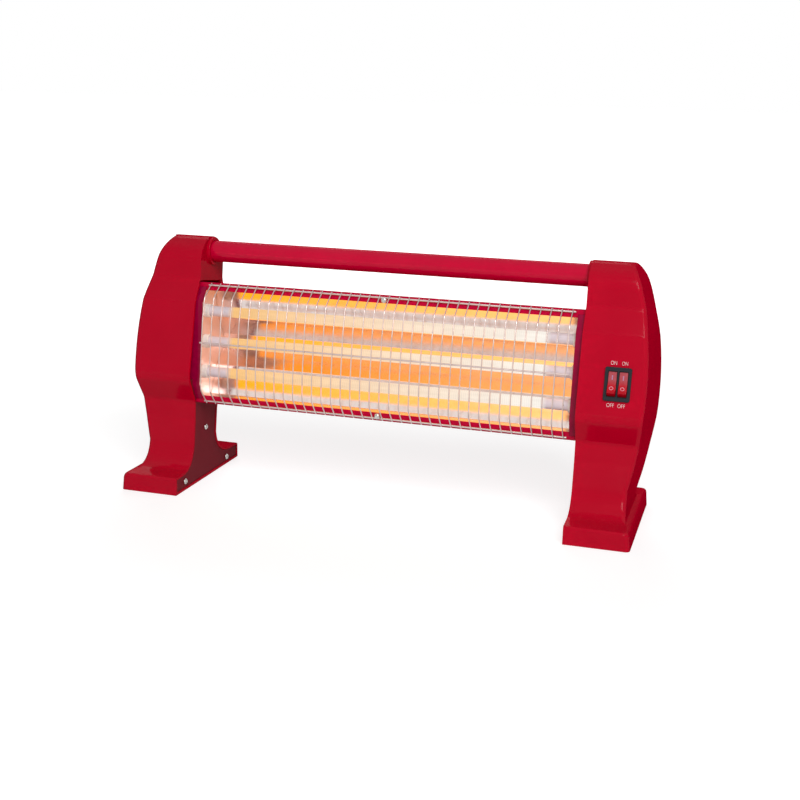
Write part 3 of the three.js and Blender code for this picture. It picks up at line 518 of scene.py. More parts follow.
def along_y(x: float = 0.0, y: float = 0.0, z: float = 0.0, towards: int = 1) -> Matrix:
    """Lays a turned piece's axis along Y, with its top towards that side."""
    return Matrix.Translation((x, y, z)) @ Matrix.Rotation(-towards * math.pi / 2, 4, "X")

def face_along(bm: BMesh, axis: Vector, facing: int = 1) -> None:
    """Turns all faces over if the one furthest along an axis looks the wrong way.

    Args:
        bm: The mesh in the making.
        axis: The axis.
        facing: 1 for faces that look along it there, -1 for faces that look back.
    """
    furthest = max(bm.faces, key=lambda face: face.calc_center_median().dot(axis))
    if furthest.normal.dot(axis) * facing < 0:
        bmesh.ops.reverse_faces(bm, faces=bm.faces)


def cut_across(bm: BMesh, origin: Vector, normal: Vector, snap: float = SNAP) -> None:
    """Divides a mesh's faces where a plane crosses them; points within snap count as on it."""
    bmesh.ops.bisect_plane(bm, geom=everything(bm), plane_co=origin, plane_no=normal, dist=snap)


def soft_edges(bm: BMesh, width: float, least: float, segments: int) -> BMesh:
    """Bevels every edge that turns by more than an angle.

    Args:
        bm: The mesh in the making.
        width: Width of the bevel.
        least: The least turn in degrees.
        segments: Number of facets across the bevel.

    Returns:
        The same mesh.
    """
    sharp = [
        edge
        for edge in bm.edges
        if len(edge.link_faces) == 2 and edge.calc_face_angle(0.0) > math.radians(least)
    ]
    bmesh.ops.bevel(
        bm,
        geom=sharp,
        offset=width,
        offset_type="OFFSET",
        affect="EDGES",
        segments=segments,
        profile=0.5,
        clamp_overlap=True,
        material=-1,
    )
    return bm


@dataclass
class Finishing:
    """What the modifiers do to a piece before its mesh is final.

    Attributes:
        wall: Thickness given to an open surface, inwards.
        bevel: Width of the bevel on its sharp edges.
        segments: Facets across that bevel.
        least: Turn in degrees past which an edge is bevelled.
        crease: Turn in degrees past which an edge is shaded sharp.
    """

    wall: float = 0.0
    bevel: float = 0.0
    segments: int = 2
    least: float = 40.0
    crease: float = 35.0

    def apply(self, piece: Piece) -> None:
        """Runs the modifiers and makes their result the piece's own mesh.

        Args:
            piece: The object to work on.
        """
        if self.wall:
            solid = piece.modifiers.new("wall", "SOLIDIFY")
            solid.thickness = self.wall * MM
            solid.offset = -1.0
            solid.use_even_offset = True
            solid.use_quality_normals = True
        if self.bevel:
            edge = piece.modifiers.new("edges", "BEVEL")
            edge.width = self.bevel * MM
            edge.segments = self.segments
            edge.limit_method = "ANGLE"
            edge.limit_method = "ANGLE"
            edge.angle_limit = math.radians(self.least)
            edge.use_clamp_overlap = True
        if piece.modifiers:
            final = baked(piece)
            piece.modifiers.clear()
            piece.data = final
        piece.data.shade_smooth()
        piece.data.set_sharp_from_angle(angle=math.radians(self.crease))
        weighted = piece.modifiers.new("weighted", "WEIGHTED_NORMAL")
        weighted.keep_sharp = True


@dataclass(frozen=True)
class Look:
    """A material, with the record's material slot that its finish stands for."""

    material: Material
    slot: str


def finished(
    bm: BMesh,
    name: str,
    look: Look,
    stands_for: Sequence[str] = (),
    body: str = ROOT,
    finishing: Finishing = Finishing(),
) -> Piece:
    """Turns a mesh in the making into a piece of the scene.

    Args:
        bm: The mesh, in millimetres.
        name: The piece's name.
        look: Its material and slot.
        stands_for: Nodes of the model that it replaces.
        body: The body that it rides on.
        finishing: What its modifiers do.

    Returns:
        The piece.
    """
    bmesh.ops.scale(bm, vec=(MM, MM, MM), verts=bm.verts)
    mesh = as_data(bm, name)
    mesh.materials.append(look.material)
    piece = linked(name, mesh)
    finishing.apply(piece)
    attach(piece, body)
    if stands_for:
        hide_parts(*stands_for)
    LOG.info("%s: %d faces", name, len(piece.data.polygons))
    return piece


def stand_in(
    bm: BMesh, node: str, look: Look, body: str = ROOT, finishing: Finishing = Finishing()
) -> Piece:
    """Makes the piece that takes one node's place and is named after it."""
    return finished(bm, f"{node}_piece", look, [node], body, finishing)


def refined(node: str, width: float, look: Look) -> Piece:
    """Makes a copy of a node of the model with softened edges.

    Args:
        node: The node's name.
        width: Width of the bevel on its edges.
        look: Its material and slot.

    Returns:
        The piece that stands for the node.
    """
    bm = reopened(frame["nodes"][node].data)
    bmesh.ops.scale(bm, vec=(1 / MM, 1 / MM, 1 / MM), verts=bm.verts)
    bmesh.ops.remove_doubles(bm, verts=bm.verts, dist=NEAR)
    bmesh.ops.dissolve_limit(bm, angle_limit=math.radians(1.0), verts=bm.verts, edges=bm.edges)
    return stand_in(bm, node, look, finishing=Finishing(bevel=width))


# ---- Shader nodes ----


class Tree:
    """A node tree in the making, with short ways to add and join nodes."""

    def __init__(self, tree: bpy.types.NodeTree) -> None:
        """Starts from an empty tree."""
        self.tree = tree
        self.tree.nodes.clear()

    def put(self, socket: Socket, value: object) -> None:
        """Joins an output to an input, or sets the input's own value.

        Args:
            socket: The input.
            value: An output, or the value.
        """
        if isinstance(value, Socket):
            self.tree.links.new(value, socket)
        else:
            socket.default_value = value

    def fill(self, node: bpy.types.Node, inputs: dict) -> None:
        """Joins or sets several inputs of a node, by name or place."""
        for key, value in inputs.items():
            self.put(node.inputs[key], value)

    def add(self, kind: str, inputs: dict | None = None, **settings: object) -> bpy.types.Node:
        """Adds a node.

        Args:
            kind: The node's type, without its prefix.
            inputs: Values or outputs for its inputs, by name or place.
            settings: The node's own properties.

        Returns:
            The node.
        """
        node = self.tree.nodes.new(f"ShaderNode{kind}")
        for key, value in settings.items():
            setattr(node, key, value)
        self.fill(node, inputs or {})
        return node

    def here(self) -> Socket:
        """Object coordinates."""
        return self.add("TexCoord").outputs["Object"]

    def axes(self, vector: Socket) -> Sequence[Socket]:
        """The x, y and z of a vector."""
        return self.add("SeparateXYZ", {0: vector}).outputs

    def place(self, stretch: Corner = (1, 1, 1)) -> Socket:
        """Object coordinates, stretched along the axes."""
        return self.add("Mapping", {"Vector": self.here(), "Scale": stretch}).outputs[0]

    def noise(self, vector: object, scale: object, detail: float = 3.0) -> Socket:
        """Noise between 0 and 1."""
        return self.add("TexNoise", {"Vector": vector, "Scale": scale, "Detail": detail}).outputs[0]

    def spread(self, value: object, lows: tuple[object, object], highs: tuple[object, object]) -> Socket:
        """Maps a range of values onto another, clamped.

        Args:
            value: The value to map.
            lows: Lowest value coming in, and what it becomes.
            highs: Highest value coming in, and what it becomes.

        Returns:
            The mapped value.
        """
        inputs = {0: value, 1: lows[0], 2: highs[0], 3: lows[1], 4: highs[1]}
        return self.add("MapRange", inputs).outputs[0]

    def sum(self, operation: str, a: object, b: object = 0.0) -> Socket:
        """The result of a step of arithmetic."""
        return self.add("Math", {0: a, 1: b}, operation=operation).outputs[0]

    def times(self, first: object, *others: object) -> Socket:
        """The product of two or more values.

        Args:
            first: An output or a number.
            others: The other factors.

        Returns:
            The output of the last product.
        """
        for other in others:
            first = self.sum("MULTIPLY", first, other)
        return first

    def mixed(self, share: object, a: object, b: object) -> Socket:
        """A colour between two others."""
        return self.add("Mix", {0: share, 6: a, 7: b}, data_type="RGBA").outputs[2]

    def bump(self, height: object, distance: float, strength: float = 1.0) -> Socket:
        """A normal that a height in the range 0 to 1 disturbs, with its depth in millimetres."""
        inputs = {"Height": height, "Distance": distance * MM, "Strength": strength}
        return self.add("Bump", inputs).outputs[0]


class Effect(Enum):
    """Effects that several finishes share, each a node group."""

    GRAIN = "moulded_grain"
    SMUDGE = "smudges"
    WEAR = "edge_wear"
    DUST = "settled_dust"
    STROKES = "drawn_strokes"


class Effects:
    """Builds each shared node group once."""

    def __init__(self) -> None:
        """Builds them all."""
        self.groups = {
            Effect.GRAIN: self._grain(),
            Effect.SMUDGE: self._smudge(),
            Effect.WEAR: self._wear(),
            Effect.DUST: self._dust(),
            Effect.STROKES: self._strokes(),
        }

    @staticmethod
    def _start(effect: Effect, inputs: dict[str, float], outputs: Sequence[str]) -> tuple[Tree, dict, dict]:
        """Starts a group.

        Args:
            effect: Which one.
            inputs: Names and values of its inputs.
            outputs: Names of its outputs.

        Returns:
            The tree, its inputs by name and its outputs by name.
        """
        group = bpy.data.node_groups.new(effect.value, "ShaderNodeTree")
        tree = Tree(group)
        for name, value in inputs.items():
            socket = group.interface.new_socket(name, in_out="INPUT", socket_type="NodeSocketFloat")
            socket.default_value = value
        for name in outputs:
            group.interface.new_socket(name, in_out="OUTPUT", socket_type="NodeSocketFloat")
        start = group.nodes.new("NodeGroupInput")
        end = group.nodes.new("NodeGroupOutput")
        given = {name: start.outputs[name] for name in inputs}
        return tree, given, {name: end.inputs[name] for name in outputs}

    def _grain(self) -> bpy.types.NodeTree:
        """The fine even grain of a moulded or sprayed surface.

        Returns:
            The group, which puts out a height and a shade.
        """
        tree, given, out = self._start(Effect.GRAIN, {"Scale": 900.0, "Coarse": 60.0}, ("Height", "Shade"))
        here = tree.place()
        fine = tree.noise(here, given["Scale"], detail=4.0)
        coarse = tree.noise(here, given["Coarse"], detail=2.0)
        tree.put(out["Height"], tree.sum("ADD", tree.times(fine, 0.6), tree.times(coarse, 0.4)))
        tree.put(out["Shade"], coarse)
        return tree.tree

    def _smudge(self) -> bpy.types.NodeTree:
        """Soft patches where hands and cloths have passed.

        Returns:
            The group, which puts out a mask.
        """
        tree, given, out = self._start(Effect.SMUDGE, {"Scale": 22.0, "Low": 0.2, "High": 0.35}, ("Value",))
        patches = tree.noise(tree.place((1.0, 1.6, 0.7)), given["Scale"], detail=6.0)
        tree.put(out["Value"], tree.spread(patches, (0.35, given["Low"]), (0.68, given["High"])))
        return tree.tree

    def _wear(self) -> bpy.types.NodeTree:
        """A mask along edges that stand out, broken up by noise. The finishes lighten the edges with it, as
        wear and as a painted highlight.

        Returns:
            The group, which puts out a mask.
        """
        tree, given, out = self._start(Effect.WEAR, {"Amount": 0.5, "Scale": 180.0}, ("Mask",))
        edge = tree.add("NewGeometry").outputs["Pointiness"]
        ridge = tree.spread(edge, (0.52, 0.0), (0.6, 1.0))
        patches = tree.noise(tree.place(), given["Scale"], detail=5.0)
        broken = tree.spread(patches, (0.4, 0.0), (0.62, 1.0))
        tree.put(out["Mask"], tree.times(ridge, broken, given["Amount"]))
        return tree.tree

    def _dust(self) -> bpy.types.NodeTree:
        """A mask on what faces up, in thin specks.

        Returns:
            The group, which puts out a mask.
        """
        tree, given, out = self._start(Effect.DUST, {"Amount": 0.1, "Scale": 900.0}, ("Mask",))
        up = tree.axes(tree.add("NewGeometry").outputs["Normal"])[2]
        facing = tree.spread(up, (0.55, 0.0), (1.0, 1.0))
        thin = tree.noise(tree.place(), given["Scale"], detail=8.0)
        specks = tree.spread(thin, (0.5, 0.15), (0.7, 1.0))
        tree.put(out["Mask"], tree.times(facing, specks, given["Amount"]))
        return tree.tree

    def _strokes(self) -> bpy.types.NodeTree:
        """Long thin lines along X, as on rolled or drawn metal.

        Returns:
            The group, which puts out a value.
        """
        sizes = {"Scale": 700.0, "Stretch": 0.012}
        tree, given, out = self._start(Effect.STROKES, sizes, ("Height", "Shade"))
        x, y, z = tree.axes(tree.here())
        place = tree.add("CombineXYZ", {0: tree.times(x, given["Stretch"]), 1: y, 2: z}).outputs[0]
        tree.put(out["Height"], tree.noise(place, given["Scale"], detail=4.0))
        tree.put(out["Shade"], tree.noise(place, tree.times(given["Scale"], 0.15), detail=3.0))
        return tree.tree

    def use(self, tree: Tree, effect: Effect, **values: float) -> bpy.types.Node:
        """Places an effect in a material with its own values.

        Args:
            tree: The material's tree.
            effect: Which one.
            values: Values for its inputs, by their names in small letters.

        Returns:
            The group node.
        """
        node = tree.add("Group", node_tree=self.groups[effect])
        for name, value in values.items():
            node.inputs[name.capitalize()].default_value = value
        return node

    def mask(self, tree: Tree, effect: Effect, **values: float) -> Socket:
        """The first output of an effect that is placed in a material."""
        return self.use(tree, effect, **values).outputs[0]


# ---- Finishes ----

COAT_IOR = 1.45


def shade(colour: Colour, factor: float = 1.0) -> tuple[float, float, float, float]:
    """A colour made lighter or darker, with its alpha."""
    return tuple(min(1.0, channel * factor) for channel in colour) + (1.0,)


@dataclass(frozen=True)
class Finish:
    """What every finish has: a name, the record's slot and the main colour."""

    name: str
    slot: str
    colour: Colour

    def build(self, effects: Effects) -> Material:
        """Makes the material.

        Args:
            effects: The shared effects.

        Returns:
            The material, with its shader dressed and joined to the output.
        """
        material = bpy.data.materials.new(self.name)
        material.use_nodes = True
        tree = Tree(material.node_tree)
        shader = tree.add("BsdfPrincipled")
        tree.add("OutputMaterial", {"Surface": shader.outputs[0]})
        tree.fill(shader, self.dress(effects, tree))
        return material

    def dress(self, effects: Effects, tree: Tree) -> dict:
        """The values and outputs for the shader's inputs, by name."""
        raise NotImplementedError

    @staticmethod
    def gloss(effects: Effects, tree: Tree, weight: float, roughness: float) -> dict:
        """The inputs of a clear gloss, smudged here and there, and weaker at a low angle.

        Args:
            effects: The shared effects.
            tree: The material's tree.
            weight: Strength of the gloss.
            roughness: Roughness of the gloss.

        Returns:
            The values and outputs by name.
        """
        smudged = effects.mask(tree, Effect.SMUDGE, scale=30.0, low=weight, high=0.8 * weight)
        facing = tree.add("LayerWeight", {"Blend": 0.5}).outputs["Facing"]
        return {
            "Coat Weight": tree.times(smudged, tree.spread(facing, (0.3, 1.0), (0.75, 0.0))),
            "Coat Roughness": roughness,
            "Coat IOR": COAT_IOR,
            "Specular IOR Level": 0.0,
        }


@dataclass(frozen=True)
class Coloured(Finish):
    """A coloured surface with a fine grain, edges lightened as wear and as a painted highlight, a little dust
    and a clear gloss.

    Attributes:
        low, high: Roughness where it is cleanest and most smudged.
        grain, coarse: Fineness of the grain and of the slow change in shade.
        depth, relief: Depth of the grain in millimetres, and its strength.
        dark, light, bared: Factors on the colour: where it is darkest, lightest, and on the edges, which it
            lightens as wear and as a painted highlight.
    """

    low: float = 0.22
    high: float = 0.34
    grain: float = 900.0
    coarse: float = 28.0
    depth: float = 0.01
    relief: float = 0.6
    dark: float = 0.94
    light: float = 1.06
    # Strength of the edge mask, which lightens the edges as wear and as a painted highlight.
    wear: float = 0.25
    bared: float = 1.35
    dust: float = 0.03
    dust_colour: Colour = (0.55, 0.5, 0.47)
    shine: float = 0.5
    shine_roughness: float = 0.12

    def dress(self, effects: Effects, tree: Tree) -> dict:
        """The inputs of the shader.

        Args:
            effects: The shared effects.
            tree: The material's tree.

        Returns:
            Values or outputs by the name of the input.
        """
        grain = effects.use(tree, Effect.GRAIN, scale=self.grain, coarse=self.coarse)
        wear = effects.mask(tree, Effect.WEAR, amount=self.wear)
        dust = effects.mask(tree, Effect.DUST, amount=self.dust)
        rough = effects.mask(tree, Effect.SMUDGE, low=self.low, high=self.high)
        dark, light = shade(self.colour, self.dark), shade(self.colour, self.light)
        body = tree.mixed(grain.outputs["Shade"], dark, light)
        # Lightened edges: wear, and a painted highlight.
        worn_and_highlit = tree.mixed(wear, body, shade(self.colour, self.bared))
        return {
            "Base Color": tree.mixed(dust, worn_and_highlit, shade(self.dust_colour)),
            "Roughness": tree.sum("ADD", rough, tree.times(dust, 0.4)),
            "Normal": tree.bump(grain.outputs["Height"], self.depth, self.relief),
            **self.gloss(effects, tree, self.shine, self.shine_roughness),
        }


@dataclass(frozen=True)
class Plastic(Coloured):
    """Moulded plastic, from glossy to matt."""


@dataclass(frozen=True)
class Marking(Coloured):
    """A printed word or a moulded mark."""

    low: float = 0.4
    high: float = 0.5
    depth: float = 0.003
    shine: float = 0.1


@dataclass(frozen=True)
class Paint(Coloured):
    """Baked enamel on sheet steel, with its faint ripple."""

    low: float = 0.2
    high: float = 0.32
    grain: float = 260.0
    coarse: float = 18.0
    depth: float = 0.012
    relief: float = 0.5
    dark: float = 0.92
    light: float = 1.07
    # Paint's edges are lightened more: wear, and a painted highlight.
    wear: float = 0.5
    bared: float = 1.5
    dust_colour: Colour = (0.5, 0.45, 0.42)
    shine: float = 0.6
    shine_roughness: float = 0.14


@dataclass(frozen=True)
class Metal(Finish):
    """Bare metal: rolled, drawn or plated."""

    low: float = 0.15
    high: float = 0.3
    strokes: float = 700.0
    stretch: float = 0.012
    depth: float = 0.004
    tarnish: Colour = (0.42, 0.36, 0.3)
    stained: float = 0.12

    def dress(self, effects: Effects, tree: Tree) -> dict:
        """The inputs of the shader.

        Args:
            effects: The shared effects.
            tree: The material's tree.

        Returns:
            Values or outputs by the name of the input.
        """
        strokes = effects.use(tree, Effect.STROKES, scale=self.strokes, stretch=self.stretch)
        # Lightened edges, as on the coloured finishes: wear, and a painted highlight.
        wear = effects.mask(tree, Effect.WEAR, amount=0.4)
        rough = effects.mask(tree, Effect.SMUDGE, scale=40.0, low=self.low, high=self.high)
        body = tree.mixed(strokes.outputs["Shade"], shade(self.colour, 0.93), shade(self.colour, 1.05))
        patches = tree.noise(tree.place(), scale=35.0, detail=6.0)
        stains = tree.spread(patches, (0.55, 0.0), (0.8, self.stained))
        stained = tree.mixed(stains, body, shade(self.tarnish))
        return {
            "Base Color": tree.mixed(wear, stained, shade(self.colour, 1.12)),
            "Metallic": 1.0,
            "Roughness": tree.sum("ADD", rough, tree.times(strokes.outputs["Height"], 0.06)),
            "Normal": tree.bump(strokes.outputs["Height"], self.depth, strength=0.5),
        }


@dataclass(frozen=True)
class Quartz(Finish):
    """A milky quartz tube that glows along the coil inside it, and is plain near its ends.

    Attributes:
        glow_left, glow_right: Its own glare at both ends.
        thrown, thrown_right: The light that it throws on other pieces, at both ends.
        lit_half, thrown_half: Half the length that glares, and that throws light.
    """

    glow_left: Colour = (1.0, 0.6, 0.24)
    glow_right: Colour = (1.0, 0.97, 0.9)
    thrown: Colour = (1.0, 0.35, 0.012)
    thrown_right: Colour = (1.0, 0.5, 0.17)
    glow_strength: float = 1.0
    thrown_strength: float = 2.3
    lit_half: float = 162.0
    thrown_half: float = 177.0
    fade: float = 7.0
    winding: float = 160.0
    unlit: Colour = (0.05, 0.02, 0.004)

    def dress(self, effects: Effects, tree: Tree) -> dict:
        """The inputs of the shader. What the tube throws has a deeper colour than its own glare.

        Args:
            effects: The shared effects.
            tree: The material's tree.

        Returns:
            Values or outputs by the name of the input.
        """
        here = tree.here()
        along = tree.axes(here)[0]
        seen = tree.add("LightPath").outputs["Is Camera Ray"]
        half = tree.spread(seen, (0.0, self.thrown_half * MM), (1.0, self.lit_half * MM))
        past = tree.sum("SUBTRACT", tree.sum("ABSOLUTE", along), half)
        lit = tree.spread(past, (0.0, 1.0), (self.fade * MM, 0.0))
        milk = tree.noise(tree.place((0.15, 1, 1)), scale=260.0, detail=5.0)
        pattern = {"Vector": here, "Scale": self.winding, "Distortion": 0.6}
        windings = tree.add("TexWave", pattern, wave_type="BANDS", bands_direction="X").outputs[0]
        cloud = tree.spread(milk, (0.3, 0.88), (0.7, 1.0))
        level = tree.times(cloud, tree.spread(windings, (0.0, 0.93), (1.0, 1.0)))
        hotter = tree.spread(along, (-self.lit_half * MM, 0.0), (self.lit_half * MM, 1.0))
        near = tree.mixed(hotter, shade(self.glow_left), shade(self.glow_right))
        far = tree.mixed(hotter, shade(self.thrown), shade(self.thrown_right))
        strength = tree.spread(seen, (0.0, self.thrown_strength), (1.0, self.glow_strength))
        plain = tree.mixed(milk, shade(self.colour, 0.9), shade(self.colour))
        return {
            "Emission Color": tree.mixed(seen, far, near),
            "Emission Strength": tree.times(lit, level, strength),
            "Base Color": tree.mixed(lit, plain, shade(self.unlit)),
            "Roughness": tree.spread(milk, (0.3, 0.25), (0.7, 0.4)),
            "Normal": tree.bump(milk, distance=0.01, strength=0.5),
            **self.gloss(effects, tree, weight=0.3, roughness=0.2),
        }


@dataclass(frozen=True)
class RockerLens(Finish):
    """Clear red plastic of a rocker, lit from behind by its lamp in its lower half.

    Its upper half has a painted reflection of the bright room: a lighter, hazy colour and a faint glow.
    Its lower end has a painted shadow: it is darker there and glows less.

    Attributes:
        haze_start, haze_full, dark_end: Heights as shares of the half above the middle:
            where the painted reflection starts and where it is full, and the top of the painted shadow.
    """

    # Colour of the painted reflection of the bright room on the upper half.
    haze: Colour = (0.4, 0.075, 0.09)
    hot: Colour = (0.8, 0.0, 0.01)
    centre_z: float = 149.0
    half: float = 11.0
    # Where the painted reflection starts and where it is full.
    haze_start: float = -0.1
    haze_full: float = 0.45
    # Painted shadow at the lower end: how high it reaches, and the factor on the colour in it.
    dark_end: float = -0.35
    dark: float = 0.45
    glow: float = 0.2
    # Faint glow of the painted reflection.
    hazy_glow: float = 0.07

    def level(self, share: float) -> float:
        """The height in metres at a share of half the rocker above its middle."""
        return (self.centre_z + share * self.half) * MM

    def dress(self, effects: Effects, tree: Tree) -> dict:
        """The inputs of the shader.

        Args:
            effects: The shared effects.
            tree: The material's tree.

        Returns:
            Values or outputs by the name of the input.
        """
        here = tree.here()
        height = tree.axes(here)[2]
        # Mask of the painted reflection on the upper half.
        upper = tree.spread(height, (self.level(self.haze_start), 0.0), (self.level(self.haze_full), 1.0))
        # 0 in the painted shadow at the lower end, 1 above it.
        lit = tree.spread(height, (self.level(-1.0), 0.0), (self.level(self.dark_end), 1.0))
        cloud = tree.spread(tree.noise(here, scale=420.0, detail=4.0), (0.35, 0.7), (0.7, 1.0))
        grain = effects.use(tree, Effect.GRAIN, scale=1500.0, coarse=90.0)
        red = tree.mixed(lit, shade(self.colour, self.dark), shade(self.colour))
        glow = tree.spread(upper, (0.0, self.glow), (1.0, self.hazy_glow))
        return {
            # The painted reflection lightens the upper half and glows faintly there; the painted shadow
            # darkens the lower end and dims the lamp's glow.
            "Base Color": tree.mixed(tree.times(upper, cloud), red, shade(self.haze)),
            "Emission Color": tree.mixed(upper, shade(self.hot), shade(self.haze)),
            "Emission Strength": tree.times(glow, tree.spread(lit, (0.0, 0.2), (1.0, 1.0))),
            "Roughness": effects.mask(tree, Effect.SMUDGE, low=0.12, high=0.24),
            "Normal": tree.bump(grain.outputs["Height"], distance=0.004, strength=0.5),
            **self.gloss(effects, tree, weight=0.45, roughness=0.1),
        }


@dataclass(frozen=True)
class Ceramic(Finish):
    """Unglazed ceramic, a little browned by the heat."""

    scorched: Colour = (0.5, 0.33, 0.22)

    def dress(self, effects: Effects, tree: Tree) -> dict:
        """The inputs of the shader.

        Args:
            effects: The shared effects.
            tree: The material's tree.

        Returns:
            Values or outputs by the name of the input.
        """
        grain = effects.use(tree, Effect.GRAIN, scale=1300.0, coarse=120.0)
        scorch = tree.spread(tree.noise(tree.place(), scale=90.0, detail=5.0), (0.5, 0.0), (0.8, 0.35))
        body = tree.mixed(grain.outputs["Shade"], shade(self.colour, 0.93), shade(self.colour, 1.05))
        return {
            "Base Color": tree.mixed(scorch, body, shade(self.scorched)),
            "Roughness": tree.spread(grain.outputs["Height"], (0.3, 0.55), (0.7, 0.75)),
            "Normal": tree.bump(grain.outputs["Height"], distance=0.03, strength=0.7),
        }


@dataclass(frozen=True)
class Sleeve(Finish):
    """Braided glass sleeve of an inner lead."""

    dust_colour: Colour = (0.4, 0.37, 0.33)

    def dress(self, effects: Effects, tree: Tree) -> dict:
        """The inputs of the shader.

        Args:
            effects: The shared effects.
            tree: The material's tree.

        Returns:
            Values or outputs by the name of the input.
        """
        braid = tree.add("TexVoronoi", {"Vector": tree.place(), "Scale": 1400.0}).outputs["Distance"]
        dust = effects.mask(tree, Effect.DUST, amount=0.2)
        body = tree.mixed(braid, shade(self.colour, 1.05), shade(self.colour, 0.7))
        return {
            "Base Color": tree.mixed(dust, body, shade(self.dust_colour)),
            "Roughness": tree.spread(braid, (0.0, 0.6), (1.0, 0.85)),
            "Sheen Weight": 0.2,
            "Normal": tree.bump(braid, distance=0.1, strength=0.8),
        }


FINISHES = (
    Plastic("gloss_red_plastic", "shell_red", (0.455, 0.0, 0.016), low=0.2, high=0.3, depth=0.006, shine=0.2),
    Plastic(
        "matt_red_plastic",
        "cover_red",
        (0.17, 0.01, 0.018),
        low=0.42,
        high=0.56,
        grain=2200.0,
        depth=0.03,
        shine=0.4,
        shine_roughness=0.4,
    ),
    Paint("red_handle_enamel", "handle_red", (0.54, 0.0, 0.03), shine=0.35),
    Paint("red_casing_enamel", "casing_red", (0.47, 0.0, 0.03), shine=0.2),
    # The casing's enamel darkened for the brackets: painted shade, for strips that lie in shadow beside the
    # shells.
    Paint("red_bracket_enamel", "casing_red", (0.26, 0.0, 0.03), shine=0.3),
    Metal(
        "polished_reflector",
        "polished_reflector",
        (0.75, 0.66, 0.63),
        low=0.08,
        high=0.14,
        strokes=420.0,
        depth=0.003,
        stained=0.1,
    ),
    Metal("brushed_end_plate", "polished_reflector", (0.92, 0.73, 0.7), 0.5, 0.62, 500.0, 1.0, stained=0.2),
    Metal("bright_steel", "bright_steel", (0.5, 0.49, 0.47), 0.2, 0.34, 1500.0, 0.2),
    Metal("guard_wire", "bright_steel", (0.57, 0.48, 0.46), 0.22, 0.36, 1500.0, 0.2),
    Ceramic("ceramic", "ceramic", (0.84, 0.8, 0.75)),
    Quartz("milky_quartz", "milky_quartz", (0.78, 0.68, 0.72)),
    Metal("coil_wire", "coil_wire", (0.62, 0.4, 0.24), 0.45, 0.6, 900.0, 1.0),
    RockerLens("clear_red_rocker", "rocker_red", (0.34, 0.0, 0.008)),
    Plastic(
        "black_plastic",
        "black_plastic",
        (0.018, 0.02, 0.025),
        low=0.3,
        high=0.42,
        grain=1600.0,
        depth=0.012,
    ),
    Marking("white_marking", "black_plastic", (0.8, 0.78, 0.76)),
    Marking("bar_marking", "black_plastic", (0.4, 0.22, 0.36)),
    Marking("ring_marking", "black_plastic", (0.62, 0.24, 0.29)),
    Sleeve("lead_sleeve", "lead_sleeve", (0.66, 0.63, 0.56)),
    Metal("brass", "brass", (0.72, 0.5, 0.2), 0.22, 0.38, 900.0, 0.3),
    Plastic("grey_plastic", "grey_plastic", (0.3, 0.31, 0.32), low=0.45, high=0.6, grain=1500.0, depth=0.02),
)


class Palette:
    """Every finish as a look, by name and by the record's slot."""

    def __init__(self) -> None:
        """Builds the shared effects and all the finishes."""
        effects = Effects()
        self.by_name = {finish.name: Look(finish.build(effects), finish.slot) for finish in FINISHES}
        self.by_slot: dict[str, Material] = {}
        for look in self.by_name.values():
            self.by_slot.setdefault(look.slot, look.material)

    def __getitem__(self, name: str) -> Look:
        """The look of that name."""
        return self.by_name[name]

    def dress_nodes(self) -> None:
        """Gives every node of the model that still shows the material of its slot."""
        for entry in frame["record"]["subparts"]:
            node = frame["nodes"][entry["node"]]
            node.data.materials.clear()
            node.data.materials.append(self.by_slot[entry["material_slot"]])


# ---- End shells ----


@dataclass(frozen=True)
class Fold:
    """A corner of a shell's outline: its height, half the depth there, and its round."""

    z: float
    half: float
    round: float


